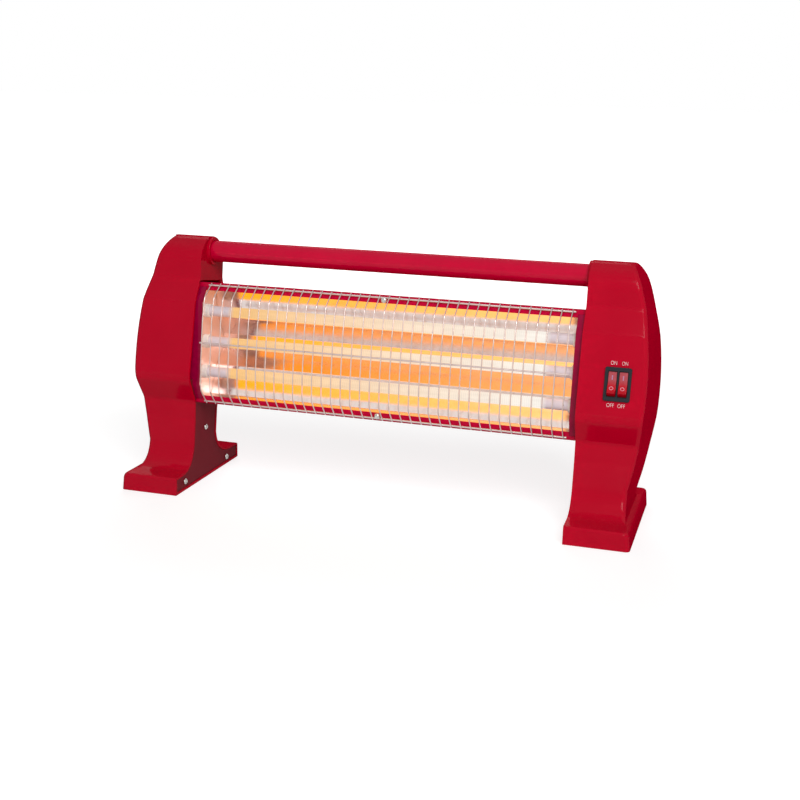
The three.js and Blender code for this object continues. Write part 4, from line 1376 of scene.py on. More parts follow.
@dataclass
class EndShell:
    """One end shell: foot, leg, body and neck in one moulding, open towards the tubes."""

    side: Side
    palette: Palette
    wall: float = 2.5
    edge_radius: float = 4.5
    toe_height: float = 18.5
    heel_height: float = 16.6
    toe_radius: float = 3.2
    instep_flat: float = 16.0
    heel_flat: float = 20.0
    leg_half: float = 27.6
    leg_low: float = 44.0
    calf: Fold = Fold(70.0, 27.6, 30.0)
    knee: Fold = Fold(89.0, 29.4, 12.0)
    belly: Fold = Fold(112.0, 44.2, 14.0)
    swell: Fold = Fold(119.0, 45.6, 18.0)
    chest: Fold = Fold(124.0, 45.4, 24.0)
    shoulder: Fold = Fold(194.0, 38.3, 7.0)
    collar: Fold = Fold(217.0, 27.2, 9.0)
    neck_half: float = 27.2
    arch_z: float = 230.0
    arch_forward: float = 0.4
    arch_steps: int = 18
    sweep_steps: int = 16
    foot_width: float = 63.0
    leg_width: float = 52.8
    body_width: float = 64.44
    neck_width: float = 51.3
    top_width: float = 39.8
    flare: float = 6.5
    flare_full_z: float = 45.0
    flare_fade_z: float = 106.0
    flare_top: float = 2.0
    top_trim: float = 0.25
    widest_z: float = 147.0
    neck_side_z: float = 235.0
    neck_slot: float = 1.5
    ring_inner: float = 11.3
    ring_outer: float = 14.5
    ring_height: float = 3.0
    switch_x: float = 37.1
    switch_z: float = 149.2
    switch_hole: Point = (21.6, 28.6)
    hole_reach: float = 6.0
    inlet_x: float = 32.0
    inlet_z: float = 58.0
    inlet_hole: float = 7.0
    foot_draft: float = 1.0
    ledge: Point = (2.0, 0.8)
    ledge_pull: float = 4.0
    neck_pull: float = 3.0
    least_step: float = 0.3
    least_top: float = 0.1
    least_flat: float = 0.02
    corner_step: float = 15.0

    def fore(self, z: float, half: float) -> Point:
        """A point of the front, by its height and its distance from the centre-line."""
        return LAYOUT.centre_y(z) - half, z

    def rear(self, z: float, half: float) -> Point:
        """The same point of the back, mirrored in the leaning centre-line."""
        twice = 2 * LAYOUT.lean
        return LAYOUT.centre_y(z) + half * math.cos(twice), z - half * math.sin(twice)

    @property
    def arch_y(self) -> float:
        """Y of the centre of the round top."""
        return LAYOUT.centre_y(self.arch_z) - self.arch_forward

    @property
    def top_z(self) -> float:
        """Height of the shell."""
        return self.arch_z + self.neck_half - self.top_trim

    def arch(self, first: float, last: float) -> list[Point]:
        """Points of the round top between two angles.

        Args:
            first: The first angle in degrees, counted from the back.
            last: The last angle.

        Returns:
            The points.
        """
        points = []
        for i in range(self.arch_steps + 1):
            angle = math.radians(first + (last - first) * i / self.arch_steps)
            y = self.arch_y + self.neck_half * math.cos(angle)
            points.append((y, self.arch_z + self.neck_half * math.sin(angle)))
        return points

    def run(
        self, foot: Sequence[Corner], control: Point, upper: Sequence[Corner], turn: float
    ) -> list[Point]:
        """The front or the back from the ground to the top, as it climbs.

        Args:
            foot: Corners of the foot, the last of them on the instep.
            control: The point that the sweep from the instep to the ankle is drawn towards.
            upper: Corners from the ankle to the start of the round top.
            turn: Angle in degrees at which the round top starts.

        Returns:
            The points.
        """
        sweep = bend(foot[-1][:2], control, upper[0][:2], self.sweep_steps)
        body = rounded(upper, turn=4)
        return climbing([*rounded(foot), *sweep[1:-1], *body, *self.arch(turn, last=90)[1:]])

    def front_run(self) -> list[Point]:
        """The front: the mirrored corners, with a swell between belly and chest.

        Returns:
            Y and height of each corner, from the ground up.
        """
        half = LAYOUT.foot_depth / 2
        toe = (-half, self.toe_height, self.toe_radius)
        foot = [(-half, 0, 0), toe, (-half + self.instep_flat, self.toe_height + 0.5, 0)]
        control = (self.fore(0, self.leg_half - 1)[0], self.toe_height + 1)
        folds = (self.calf, self.knee, self.belly, self.swell, self.chest, self.shoulder, self.collar)
        upper = [
            (*self.fore(self.leg_low, self.leg_half), 0),
            *[(*self.fore(fold.z, fold.half), fold.round) for fold in folds],
            (self.arch_y - self.neck_half, self.arch_z, 0),
        ]
        return self.run(foot, control, upper, 180)

    def back_run(self) -> list[Point]:
        """The back: its leg is upright over the foot, and the rest mirrors the front.

        Returns:
            Y and height of each corner, from the ground up.
        """
        half = LAYOUT.foot_depth / 2
        heel = (half, self.heel_height, self.toe_radius)
        foot = [(half, 0, 0), heel, (half - self.heel_flat, self.heel_height + 1, 0)]
        control = (LAYOUT.centre_y(0) + self.leg_half + 9, self.heel_height + 3)
        folds = (self.knee, self.belly, self.chest, self.shoulder, self.collar)
        upper = [
            (LAYOUT.centre_y(self.leg_low) + self.leg_half, self.leg_low, 0),
            (LAYOUT.centre_y(self.calf.z) + self.calf.half, self.calf.z, self.calf.round),
            *[(*self.rear(fold.z, fold.half), fold.round) for fold in folds],
            (self.arch_y + self.neck_half, self.arch_z, 0),
        ]
        return self.run(foot, control, upper, 0)

    def side_run(self) -> list[Point]:
        """The outer side from the ground to the top: X and height.

        Returns:
            X and height of each corner, from the ground up.
        """
        x = LAYOUT.inner_x
        bow = 2 * self.body_width - (self.leg_width + self.neck_width) / 2
        bow_z = 2 * self.widest_z - (self.leg_low + self.neck_side_z) / 2
        foot = (x + self.foot_width - self.foot_draft, self.heel_height - 2 * self.toe_radius)
        ledge = (x + self.leg_width + self.ledge[0], self.toe_height + self.ledge[1])
        leg = (x + self.leg_width, self.leg_low)
        neck = (x + self.neck_width, self.neck_side_z)
        top = (x + self.top_width, self.top_z)
        points = [(x + self.foot_width, 0.0), foot]
        points += bend(foot, (foot[0], self.toe_height), ledge, steps=8)[1:]
        points += bend(ledge, (leg[0], self.toe_height + self.ledge_pull), leg, steps=8)[1:]
        points += bend(leg, (x + bow, bow_z), neck, steps=26)[1:]
        control = (x + self.neck_width - self.neck_pull, (self.neck_side_z + self.top_z) / 2)
        points += bend(neck, control, top, steps=8)[1:]
        return climbing(points)

    def flare_run(self) -> list[Point]:
        """How much further out the side's rear edge is than its front edge, by height."""
        full, fade = (self.flare, self.flare_full_z), (self.flare, self.flare_fade_z)
        return [(0.0, self.toe_height), full, fade, (self.flare_top, self.top_z)]

    def rings(self) -> list[list[Vector]]:
        """Level rings from the ground to the top, each from the front rim round to the back rim.

        Returns:
            The points of each ring, in mm.
        """
        fore, rear, side, flares = self.front_run(), self.back_run(), self.side_run(), self.flare_run()
        top = self.top_z
        levels = [0.0]
        for z in sorted(z for _, z in [*fore, *rear, *side] if self.least_step < z < top - self.least_top):
            if z - levels[-1] > self.least_step:
                levels.append(z)
        rings = []
        for z in [*levels, top]:
            y0, y1, x1 = value_at(fore, z), value_at(rear, z), value_at(side, z)
            x2 = x1 + value_at(flares, z)
            radius = min(self.edge_radius, (y1 - y0) / 2 - self.least_flat)
            ring = [Vector((LAYOUT.inner_x, y0, z))]
            for x, y, start in ((x1 - radius, y0 + radius, -90.0), (x2 - radius, y1 - radius, 0.0)):
                for i in range(round(90 / self.corner_step) + 1):
                    angle = math.radians(start + self.corner_step * i)
                    ring.append(Vector((x + radius * math.cos(angle), y + radius * math.sin(angle), z)))
            ring.append(Vector((LAYOUT.inner_x, y1, z)))
            rings.append(ring)
        return rings

    def close_neck(self, bm: BMesh) -> None:
        """Closes the inner side above the casing, down to the slot that the casing lies in.

        Args:
            bm: The shell's surface.
        """
        place = LAYOUT.unit()
        origin = place @ Vector((0, 0, LAYOUT.casing_half + self.neck_slot))
        up = place.to_3x3() @ Z_AXIS
        cut_across(bm, origin, up)
        rim = [
            vert
            for vert in bm.verts
            if abs(vert.co.x - LAYOUT.inner_x) < NEAR and (vert.co - origin).dot(up) > -NEAR
        ]
        fore = sorted((vert for vert in rim if vert.co.y < self.arch_y), key=lambda vert: vert.co.z)
        rear = sorted((vert for vert in rim if vert.co.y >= self.arch_y), key=lambda vert: -vert.co.z)
        bm.faces.new([*fore, *rear])

    def open_hole(self, bm: BMesh, place: Matrix, half_x: float, half_z: float, faces: float) -> None:
        """Cuts a rectangular hole in the front or the back.

        Args:
            bm: The shell's surface.
            place: The hole's own frame, with Y through the wall.
            half_x: Half its width.
            half_z: Half its height.
            faces: The sign of Y that the wall faces.
        """
        turn = place.to_3x3()
        for axis, half in ((X_AXIS, half_x), (Z_AXIS, half_z)):
            for sign in (-1, 1):
                cut_across(bm, place @ (axis * half * sign), turn @ axis)
        back = place.inverted()
        inside = []
        for face in bm.faces:
            x, y, z = back @ face.calc_center_median()
            near = abs(x) < half_x and abs(z) < half_z and abs(y) < self.hole_reach
            if near and face.normal.y * faces > 0:
                inside.append(face)
        bmesh.ops.delete(bm, geom=inside, context="FACES")

    def switch_place(self) -> Matrix:
        """The frame of the switch, on the front.

        Returns:
            The matrix that puts the switch there.
        """
        chest = self.fore(self.chest.z, self.chest.half)
        shoulder = self.fore(self.shoulder.z, self.shoulder.half)
        tilt = math.atan((shoulder[0] - chest[0]) / (shoulder[1] - chest[1]))
        y = chest[0] + (self.switch_z - chest[1]) * math.tan(tilt)
        place = Matrix.Translation((LAYOUT.inner_x + self.switch_x, y, self.switch_z))
        return place @ Matrix.Rotation(-tilt, 4, "X")

    def inlet_place(self) -> Matrix:
        """The frame of the cord inlet, on the back of the leg.

        Returns:
            The matrix that puts the inlet there.
        """
        y = value_at(self.back_run(), self.inlet_z)
        place = Matrix.Translation((LAYOUT.inner_x + self.inlet_x, y, self.inlet_z))
        return place @ Matrix.Rotation(-LAYOUT.lean, 4, "X")

    def ring(self) -> BMesh:
        """The raised ring round the handle.

        Returns:
            Its mesh.
        """
        inner, outer, top = self.ring_inner, self.ring_outer, self.ring_height
        section = [(inner, -1, 0), (outer, -1, 0), (outer, top, 0.9), (inner, top, 0.6)]
        place = along_x(LAYOUT.inner_x, LAYOUT.handle_y, LAYOUT.handle_z, -1)
        return moved(lathed(section, turn=20, steps=72), place)

    def build(self) -> None:
        """Makes the shell with its ring, and gives both their finish."""
        bm = bmesh.new()
        capped(bm, self.rings(), closed=False)
        face_along(bm, X_AXIS)
        if self.side is Side.RIGHT:
            half_x, half_z = self.switch_hole[0] / 2 + LAYOUT.gap, self.switch_hole[1] / 2 + LAYOUT.gap
            self.open_hole(bm, self.switch_place(), half_x, half_z, -1)
            self.open_hole(bm, self.inlet_place(), self.inlet_hole, self.inlet_hole, 1)
        self.close_neck(bm)
        bmesh.ops.recalc_face_normals(bm, faces=bm.faces)
        face_along(bm, X_AXIS)
        mirror = Matrix.Scale(self.side.value, 4, X_AXIS)
        word = self.side.word
        look = self.palette["gloss_red_plastic"]
        finishing = Finishing(wall=self.wall, bevel=0.55, segments=3)
        finished(moved(bm, mirror), f"{word}_shell", look, [f"{word}_end_shell"], ROOT, finishing)
        ring = moved(self.ring(), mirror)
        finished(ring, f"{word}_handle_ring", look, finishing=Finishing(crease=50))


# ---- Handle ----


@dataclass
class Handle:
    """The round carrying handle between the shells."""

    palette: Palette
    radius: float = 11.0
    wall: float = 1.5
    socket_depth: float = 14.0

    def build(self) -> None:
        """Makes the tube."""
        section = pipe(self.radius - self.wall, self.radius, LAYOUT.inner_x + self.socket_depth, edge=0.5)
        bm = moved(lathed(section, turn=30, steps=96), along_x(0, LAYOUT.handle_y, LAYOUT.handle_z))
        finished(bm, "handle", self.palette["red_handle_enamel"], ["handle_tube"])


# ---- Heating unit ----


@dataclass
class HeatingUnit:
    """Casing, reflector, tubes with their caps, and the end brackets."""

    palette: Palette
    casing_reach: float = 4.0
    casing_sheet: float = 1.0
    casing_back_u: float = 40.0
    casing_back_half: float = 46.0
    shoulder_u: float = 27.0
    shoulder_half: float = 61.5
    fold_radius: float = 1.8
    reflector_sheet: float = 0.6
    mouth_half: float = 56.6
    shelf: Point = (9.8, 56.5)
    fold: Point = (19.4, 25.6)
    groove: Point = (35.2, 7.6)
    tube_radius: float = 5.4
    tube_wall: float = 1.0
    tube_seat: float = 4.0
    cap_radius: float = 7.2
    cap_length: float = 6.5
    cap_neck: float = 5.2
    cap_reach: float = 5.0
    pin_hole: float = 1.3

    @property
    def plate_x(self) -> float:
        """Inner face of a polished end plate."""
        return LAYOUT.inner_x - LAYOUT.plate_inset

    @property
    def cap_face_x(self) -> float:
        """Inner face of a cap."""
        return self.plate_x - LAYOUT.gap - self.cap_length

    def sheet(self, upper: Sequence[Corner], half_x: float, facing: int) -> BMesh:
        """Draws a folded sheet's face along X, open at both ends and along its edges.

        Args:
            upper: Corners of its upper half: u, v and the round of the fold.
            half_x: Half its length.
            facing: 1 when the face at the back looks back, -1 when it looks to the front.

        Returns:
            The sheet in its place.
        """
        points = rounded(both_halves(upper), turn=15)
        bm = bmesh.new()
        lofted(bm, [[Vector((x, u, v)) for u, v in points] for x in (-half_x, half_x)], closed=False)
        face_along(bm, Y_AXIS, facing)
        return moved(bm, LAYOUT.unit())

    def casing(self) -> None:
        """The painted sheet round the unit, with a lip above and below its mouth."""
        half, lip = LAYOUT.casing_half, LAYOUT.lip_width
        upper = [
            (LAYOUT.lip_u, half - lip, 0.0),
            (LAYOUT.lip_u, half, self.fold_radius),
            (self.shoulder_u, self.shoulder_half, 4.0),
            (self.casing_back_u, self.casing_back_half, 4.0),
        ]
        bm = self.sheet(upper, LAYOUT.inner_x + self.casing_reach, 1)
        finishing = Finishing(wall=self.casing_sheet, bevel=0.3)
        finished(bm, "casing_sheet", self.palette["red_casing_enamel"], ["casing"], ROOT, finishing)

    def reflector(self) -> None:
        """The polished sheet behind the tubes, with a deep groove behind the middle one."""
        face_u = LAYOUT.lip_u + self.casing_sheet + LAYOUT.gap + self.reflector_sheet
        upper = [
            (face_u, LAYOUT.casing_half - self.casing_sheet - LAYOUT.gap - 1, 0.0),
            (face_u, self.mouth_half, 0.9),
            (*self.shelf, 1.2),
            (*self.fold, 0.8),
            (*self.groove, 1.2),
        ]
        bm = self.sheet(upper, self.plate_x - LAYOUT.gap, -1)
        finishing = Finishing(wall=self.reflector_sheet)
        look = self.palette["polished_reflector"]
        finished(bm, "reflector_sheet", look, ["reflector"], ROOT, finishing)

    def ends(self) -> None:
        """The polished end plates, and the folded brackets in the casing's enamel darkened as painted shade.
        """
        for side in Side:
            refined(f"{side.word}_reflector_end", width=0.12, look=self.palette["brushed_end_plate"])
            refined(f"{side.word}_end_bracket", width=0.3, look=self.palette["red_bracket_enamel"])

    def tubes(self) -> None:
        """The milky tubes and the ceramic caps that hold them."""
        gap = LAYOUT.gap
        end = self.cap_face_x + self.tube_seat
        section = pipe(self.tube_radius - self.tube_wall, self.tube_radius, end, edge=0.4)
        neck_end = LAYOUT.inner_x + self.casing_reach + gap + self.cap_reach
        cap = [
            (self.tube_radius + gap, self.cap_face_x, 0.4),
            (self.cap_radius, self.cap_face_x, 1.1),
            (self.cap_radius, self.plate_x - gap, 0.5),
            (self.cap_neck, self.plate_x - gap, 0.2),
            (self.cap_neck, neck_end, 0.6),
            (self.pin_hole, neck_end, 0.2),
            (self.pin_hole, end + gap, 0.2),
            (self.tube_radius + gap, end + gap, 0.0),
        ]
        quartz, ceramic = self.palette["milky_quartz"], self.palette["ceramic"]
        for row in Row:
            v = LAYOUT.tube_v(row)
            bm = moved(lathed(section, turn=30, steps=48), LAYOUT.unit() @ along_x(0, LAYOUT.tube_u, v))
            finished(bm, f"{row.word}_tube", quartz, [f"quartz_tube_{row.word}"])
            for side in Side:
                place = LAYOUT.unit() @ along_x(0, LAYOUT.tube_u, v, side.value)
                bm = moved(lathed(cap, turn=22, steps=48), place)
                stand_in(bm, f"{side.word}_cap_{row.word}", ceramic)

    def build(self) -> None:
        """Makes every piece of the unit."""
        self.casing()
        self.reflector()
        self.ends()
        self.tubes()


# ---- Screws ----


@dataclass(frozen=True)
class Screw:
    """A round-headed screw with a cross recess."""

    shank: float
    head_radius: float = 3.1
    head_height: float = 1.9
    shank_radius: float = 1.45
    recess: float = 0.7
    slot_half: Point = (1.75, 0.42)
    slot_depth: float = 0.75
    slot_clear: float = 0.02
    recess_radii: Point = (0.9, 1.1)
    dome: tuple[Corner, ...] = ((0.6, 0.93, 0.8), (0.95, 0.45, 0.9))

    def mesh(self) -> BMesh:
        """The screw, its head upwards from z = 0 and its shank downwards.

        Returns:
            Its mesh.
        """
        head, height = self.head_radius, self.head_height
        floor, brim = self.recess_radii
        corners = [
            (0, height - self.recess, 0),
            (floor, height - self.recess, 0.2),
            (brim, height - self.slot_clear, 0.15),
            *[(head * out, height * up, edge) for out, up, edge in self.dome],
            (head, 0, 0.3),
            (self.shank_radius, 0, 0),
            (self.shank_radius, -self.shank + 1, 0),
            (0, -self.shank, 0),
        ]
        bm = turned(rounded(corners, turn=20), steps=32)
        arm, width = self.slot_half
        for angle in (0, 90):
            slot = drawn(rectangle(-arm, arm, -self.slot_depth, 0), -width, width)
            rise = Matrix.Translation((0, 0, height + self.slot_clear))
            bm = carved(bm, moved(slot, rise @ Matrix.Rotation(math.radians(angle), 4, "Z")))
        return bm

    def fit(self, node: str, look: Look, place: Matrix) -> None:
        """Puts the screw in a node's place."""
        stand_in(moved(self.mesh(), place), node, look)


def carved(bm: BMesh, tool: BMesh) -> BMesh:
    """Cuts a tool's shape out of a mesh.

    Args:
        bm: The mesh to cut. It is freed.
        tool: The shape to take away. It is freed.

    Returns:
        What is left.
    """
    first, second = linked("body", as_data(bm, "body")), linked("tool", as_data(tool, "tool"))
    cut = first.modifiers.new("cut", "BOOLEAN")
    cut.operation, cut.solver, cut.object = "DIFFERENCE", "EXACT", second
    result = baked(first)
    made = reopened(result)
    used = [first.data, second.data, result]
    for item in (first, second):
        bpy.data.objects.remove(item)
    for mesh in used:
        bpy.data.meshes.remove(mesh)
    return made


# ---- Wire guard ----


@dataclass
class WireGuard:
    """Upright wires welded on three rails, with the screws that hold it."""

    palette: Palette
    count: int = 38
    inset: float = 12.2
    wire_radius: float = 0.65
    rail_radius: float = 0.9
    rail_short: float = 2.0
    rail_v: float = 60.5
    middle_v: float = 1.5
    kink: Point = (-33.4, 47.5)
    kink_radius: float = 7.0
    bulge_u: float = -36.2
    belly_radius: float = 40.0
    overhang: float = 1.5
    sides: int = 8
    weld: float = 0.3
    screw_reach: float = 3.0

    @property
    def rail_u(self) -> float:
        """U of the upper and lower rails."""
        return LAYOUT.lip_u - self.rail_radius - LAYOUT.gap

    @property
    def spacing(self) -> float:
        """From the rails' line to the upright wires' line."""
        return self.rail_radius + self.wire_radius - self.weld

    def wire_line(self) -> list[Point]:
        """The bent line of an upright wire.

        Returns:
            Y and Z of each bend, from the lower end to the upper.
        """
        step = Vector((self.rail_u - self.kink[0], self.rail_v - self.kink[1]))
        end = Vector((self.rail_u, self.rail_v)) + step.normalized() * self.overhang * self.rail_radius
        belly = (self.bulge_u, self.kink[1] / 2, self.belly_radius)
        upper = [(end.x, end.y, 0.0), (*self.kink, self.kink_radius), belly]
        return sideways(rounded(both_halves(upper), turn=9), -self.spacing)

    def one_wire(self) -> BMesh:
        """An upright wire at x = 0.

        Returns:
            Its mesh.
        """
        line = [Vector((0, u, v)) for u, v in self.wire_line()]
        rings = []
        for i, spot in enumerate(line):
            along = (line[min(i + 1, len(line) - 1)] - line[max(i - 1, 0)]).normalized()
            across = along.cross(X_AXIS)
            ring = []
            for k in range(self.sides):
                angle = 2 * math.pi * k / self.sides
                arm = Vector((math.cos(angle), 0, 0)) + across * math.sin(angle)
                ring.append(spot + self.wire_radius * arm)
            rings.append(ring)
        bm = bmesh.new()
        capped(bm, rings, closed=True)
        return bm

    def rail(self, u: float, v: float) -> BMesh:
        """A rail along X."""
        end = LAYOUT.inner_x - LAYOUT.strip_width - LAYOUT.gap - self.rail_short
        return moved(rod(self.rail_radius, end, edge=0.3, steps=12), along_x(0, u, v))

    def build(self) -> None:
        """Makes the guard and its two screws."""
        bm = self.one_wire()
        spread = 2 * (LAYOUT.inner_x - self.inset)
        pitch = spread / (self.count - 1)
        bmesh.ops.translate(bm, verts=bm.verts, vec=(-spread / 2, 0, 0))
        first = everything(bm)
        for i in range(1, self.count):
            fresh = points_in(bmesh.ops.duplicate(bm, geom=first)["geom"])
            bmesh.ops.translate(bm, verts=fresh, vec=(i * pitch, 0, 0))
        lines = ((self.rail_u, self.rail_v), (self.bulge_u, self.middle_v), (self.rail_u, -self.rail_v))
        joined(bm, *[self.rail(u, v) for u, v in lines])
        moved(bm, LAYOUT.unit())
        finished(bm, "guard", self.palette["guard_wire"], ["wire_guard"], ROOT, Finishing(crease=50))
        head_u = self.rail_u - self.spacing - 2 * self.wire_radius - LAYOUT.gap
        screw = Screw(LAYOUT.lip_u + 1 + self.screw_reach - head_u)
        for word, sign in (("top", 1), ("bottom", -1)):
            v = sign * (LAYOUT.casing_half - LAYOUT.lip_width + screw.head_radius)
            place = LAYOUT.unit() @ along_y(0, head_u, v, -1)
            screw.fit(f"guard_screw_{word}", self.palette["bright_steel"], place)


# ---- Leg covers and their screws ----


@dataclass
class LegCovers:
    """Matt covers set into the legs, and their screws."""

    palette: Palette
    recess: float = 0.6
    screw: Screw = Screw(11.0)

    def build(self) -> None:
        """Makes the covers from the model's plates, and new screws."""
        for side in Side:
            refined(f"{side.word}_leg_cover", width=0.35, look=self.palette["matt_red_plastic"])
            x = side.value * (LAYOUT.inner_x + self.recess - LAYOUT.gap)
            for word in ("leg", "heel", "toe"):
                name = f"{side.word}_{word}_screw"
                low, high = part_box(name)
                y, z = (low.y + high.y) / 2 / MM, (low.z + high.z) / 2 / MM
                self.screw.fit(name, self.palette["bright_steel"], along_x(x, y, z, -side.value))


# ---- Switch ----


@dataclass
class RockerSwitch:
    """The double rocker switch, its marks and the words beside it."""

    palette: Palette
    place: Matrix
    bezel: Point = (25.0, 32.0)
    bezel_thickness: float = 1.8
    corner: float = 2.0
    margin: float = 1.7
    depth: float = 17.0
    rocker_width: float = 7.7
    pitch: float = 10.3
    end_radius: float = 11.9
    face: float = 4.4
    tilt: float = math.radians(11.5)
    skirt: float = 3.0
    proud: float = 0.6
    pin_radius: float = 1.25
    pin_reach: float = 0.8
    pocket: float = 7.0
    bar_half: Point = (0.5, 2.1)
    loop_radii: Point = (1.35, 2.0)
    loop_height: float = 3.7
    mark_share: float = 0.52
    mark_proud: float = 0.12
    mark_sunk: float = 0.15
    edge: float = 0.45
    end_steps: int = 8
    word_height: float = 3.6
    word_widths: Point = (5.5, 6.9)
    word_gap: float = 3.9
    word_thinning: float = 0.018
    word_proud: float = 0.06

    @property
    def face_y(self) -> float:
        """Front of the bezel."""
        return -LAYOUT.gap - self.bezel_thickness

    @property
    def pivot_y(self) -> float:
        """Y of the rockers' pivots."""
        return self.face_y - self.proud + self.face * math.cos(self.tilt)

    def housing(self) -> None:
        """The bezel with its two windows, the pockets behind them and the body."""
        half_x, half_z = self.bezel[0] / 2, self.bezel[1] / 2
        window_x = self.rocker_width / 2 + LAYOUT.gap
        window_z = self.end_radius + LAYOUT.gap
        corners = rectangle(-half_x, half_x, -half_z, half_z)
        outline = rounded([(x, z, self.corner) for x, z in corners], closed=True, turn=18)
        bm = bmesh.new()
        bm.faces.new([bm.verts.new((x, self.face_y, z)) for x, z in outline])
        cuts = [(X_AXIS, s * self.pitch / 2 + t * window_x) for s in (-1, 1) for t in (-1, 1)]
        cuts += [(Z_AXIS, t * window_z) for t in (-1, 1)]
        for axis, spot in cuts:
            cut_across(bm, axis * spot, axis, snap=SNAP / 10)
        bmesh.ops.recalc_face_normals(bm, faces=bm.faces)
        windows = []
        for face in bm.faces:
            centre = face.calc_center_median()
            if abs(centre.z) < window_z and abs(abs(centre.x) - self.pitch / 2) < window_x:
                windows.append(face)
        walls = bmesh.ops.extrude_discrete_faces(bm, faces=windows)["faces"]
        floor = [vert for face in walls for vert in face.verts]
        pocket_depth = self.pivot_y + self.pocket - self.face_y
        bmesh.ops.translate(bm, verts=floor, vec=(0, pocket_depth, 0))
        rim = [edge for edge in bm.edges if edge.is_boundary]
        fresh = points_in(bmesh.ops.extrude_edge_only(bm, edges=rim)["geom"])
        bmesh.ops.translate(bm, verts=fresh, vec=(0, self.bezel_thickness, 0))
        bmesh.ops.contextual_create(bm, geom=[edge for edge in bm.edges if edge.is_boundary])
        bmesh.ops.recalc_face_normals(bm, faces=bm.faces)
        soft_edges(bm, width=self.edge, least=50, segments=3)
        body_x, body_z = half_x - self.margin, half_z - self.margin
        section = rectangle(-LAYOUT.gap, self.depth, -body_z, body_z)
        hidden = drawn(section, -body_x, body_x)
        front = [face for face in hidden.faces if face.normal.dot(Y_AXIS) < -FACING]
        bmesh.ops.delete(hidden, geom=front, context="FACES_ONLY")
        joined(bm, hidden)
        moved(bm, self.place)
        finished(bm, "switch_bezel", self.palette["black_plastic"], ["switch_housing"])

    def face_end(self) -> float:
        """Height at which a rocker's face meets its round end.

        Returns:
            The height in mm from the pivot.
        """
        slope = math.tan(self.tilt)
        root = math.sqrt(self.end_radius**2 * (1 + slope**2) - self.face**2)
        return (root - self.face * slope) / (1 + slope**2)

    def rocker_section(self) -> list[Point]:
        """The outline of a rocker about its pivot: y and z.

        Returns:
            The corners in order.
        """
        slope, end = math.tan(self.tilt), self.face_end()
        start = math.atan2(self.face + end * slope, end)
        stop = -math.asin(self.skirt / self.end_radius)
        arc = []
        for i in range(self.end_steps + 1):
            angle = start + (stop - start) * i / self.end_steps
            arc.append((-self.end_radius * math.sin(angle), self.end_radius * math.cos(angle)))
        lower = [(y, -z) for y, z in reversed(arc)]
        return [(-self.face, 0.0), *arc, *lower]

    def rocker_place(self, x: float) -> Matrix:
        """A rocker's frame: its pivot, with its top pressed in."""
        return self.place @ Matrix.Translation((x, self.pivot_y, 0)) @ Matrix.Rotation(-self.tilt, 4, "X")

    def mark_on(self, sign: int) -> Matrix:
        """The frame of a mark on a rocker's face, on the upper half for 1 and the lower for -1.

        Args:
            sign: 1 or -1.

        Returns:
            The matrix that puts the mark there.
        """
        z = sign * self.face_end() * self.mark_share
        y = -self.face - abs(z) * math.tan(self.tilt)
        return Matrix.Translation((0, y, z)) @ Matrix.Rotation(sign * self.tilt, 4, "X")

    def bar(self) -> BMesh:
        """The mark for on: an upright bar, in X and Z, a little raised towards -Y."""
        half_x, half_z = self.bar_half
        section = rectangle(-self.mark_proud, self.mark_sunk, -half_z, half_z)
        return soft_edges(drawn(section, -half_x, half_x), width=0.05, least=50, segments=2)

    def loop(self) -> BMesh:
        """The mark for off: an upright oval ring.

        Returns:
            Its mesh.
        """
        inner, outer = self.loop_radii
        section = rectangle(inner, outer, -self.mark_sunk, self.mark_proud)
        ring = turned(section, steps=40, closed=True)
        return moved(ring, along_y(towards=-1) @ Matrix.Scale(self.loop_height / (2 * outer), 4, Y_AXIS))

    def rockers(self) -> None:
        """Both rockers, each with its two marks."""
        half = self.rocker_width / 2
        pin = half + LAYOUT.gap + self.pin_reach
        for word, column in (("left", -1), ("right", 1)):
            name = f"rocker_{word}"
            place = self.rocker_place(column * self.pitch / 2)
            bm = soft_edges(drawn(self.rocker_section(), -half, half), width=self.edge, least=60, segments=3)
            joined(bm, moved(rod(self.pin_radius, pin, edge=0.2, steps=24), along_x()))
            stand_in(moved(bm, place), name, self.palette["clear_red_rocker"], name)
            for kind, mark, sign in (("bar", self.bar(), 1), ("ring", self.loop(), -1)):
                moved(mark, place @ self.mark_on(sign))
                finished(mark, f"{name}_{kind}", self.palette[f"{kind}_marking"], body=name)

    def lettering(self, word: str, width: float) -> BMesh:
        """A word's flat letters, upright about the origin and facing -Y.

        Args:
            word: The word.
            width: Its width.

        Returns:
            The mesh.
        """
        curve = bpy.data.curves.new(word, "FONT")
        curve.body = word
        curve.align_x, curve.align_y = "CENTER", "CENTER"
        curve.size = 1.0
        curve.offset = -self.word_thinning
        holder = linked("word", curve)
        flat = baked(holder)
        bpy.data.objects.remove(holder)
        bpy.data.curves.remove(curve)
        bm = reopened(flat)
        bpy.data.meshes.remove(flat)
        across, up = [vert.co.x for vert in bm.verts], [vert.co.y for vert in bm.verts]
        left, right, low, high = min(across), max(across), min(up), max(up)
        centre = Matrix.Translation((-(left + right) / 2, -(low + high) / 2, 0))
        size = Matrix.Diagonal((width / (right - left), self.word_height / (high - low), 1, 1))
        return moved(bm, Matrix.Rotation(math.pi / 2, 4, "X") @ size @ centre)

    def words(self) -> None:
        """The printed words above and below each rocker."""
        for word, sign, width in zip(("ON", "OFF"), (1, -1), self.word_widths):
            z = sign * (self.bezel[1] / 2 + self.word_gap)
            for side, column in (("left", -1), ("right", 1)):
                spot = Matrix.Translation((column * self.pitch / 2, -self.word_proud, z))
                bm = moved(self.lettering(word, width), self.place @ spot)
                finished(bm, f"word_{word.lower()}_{side}", self.palette["white_marking"])

    def build(self) -> None:
        """Makes every piece of the switch."""
        self.housing()
        self.rockers()
        self.words()


# ---- Cord inlet ----


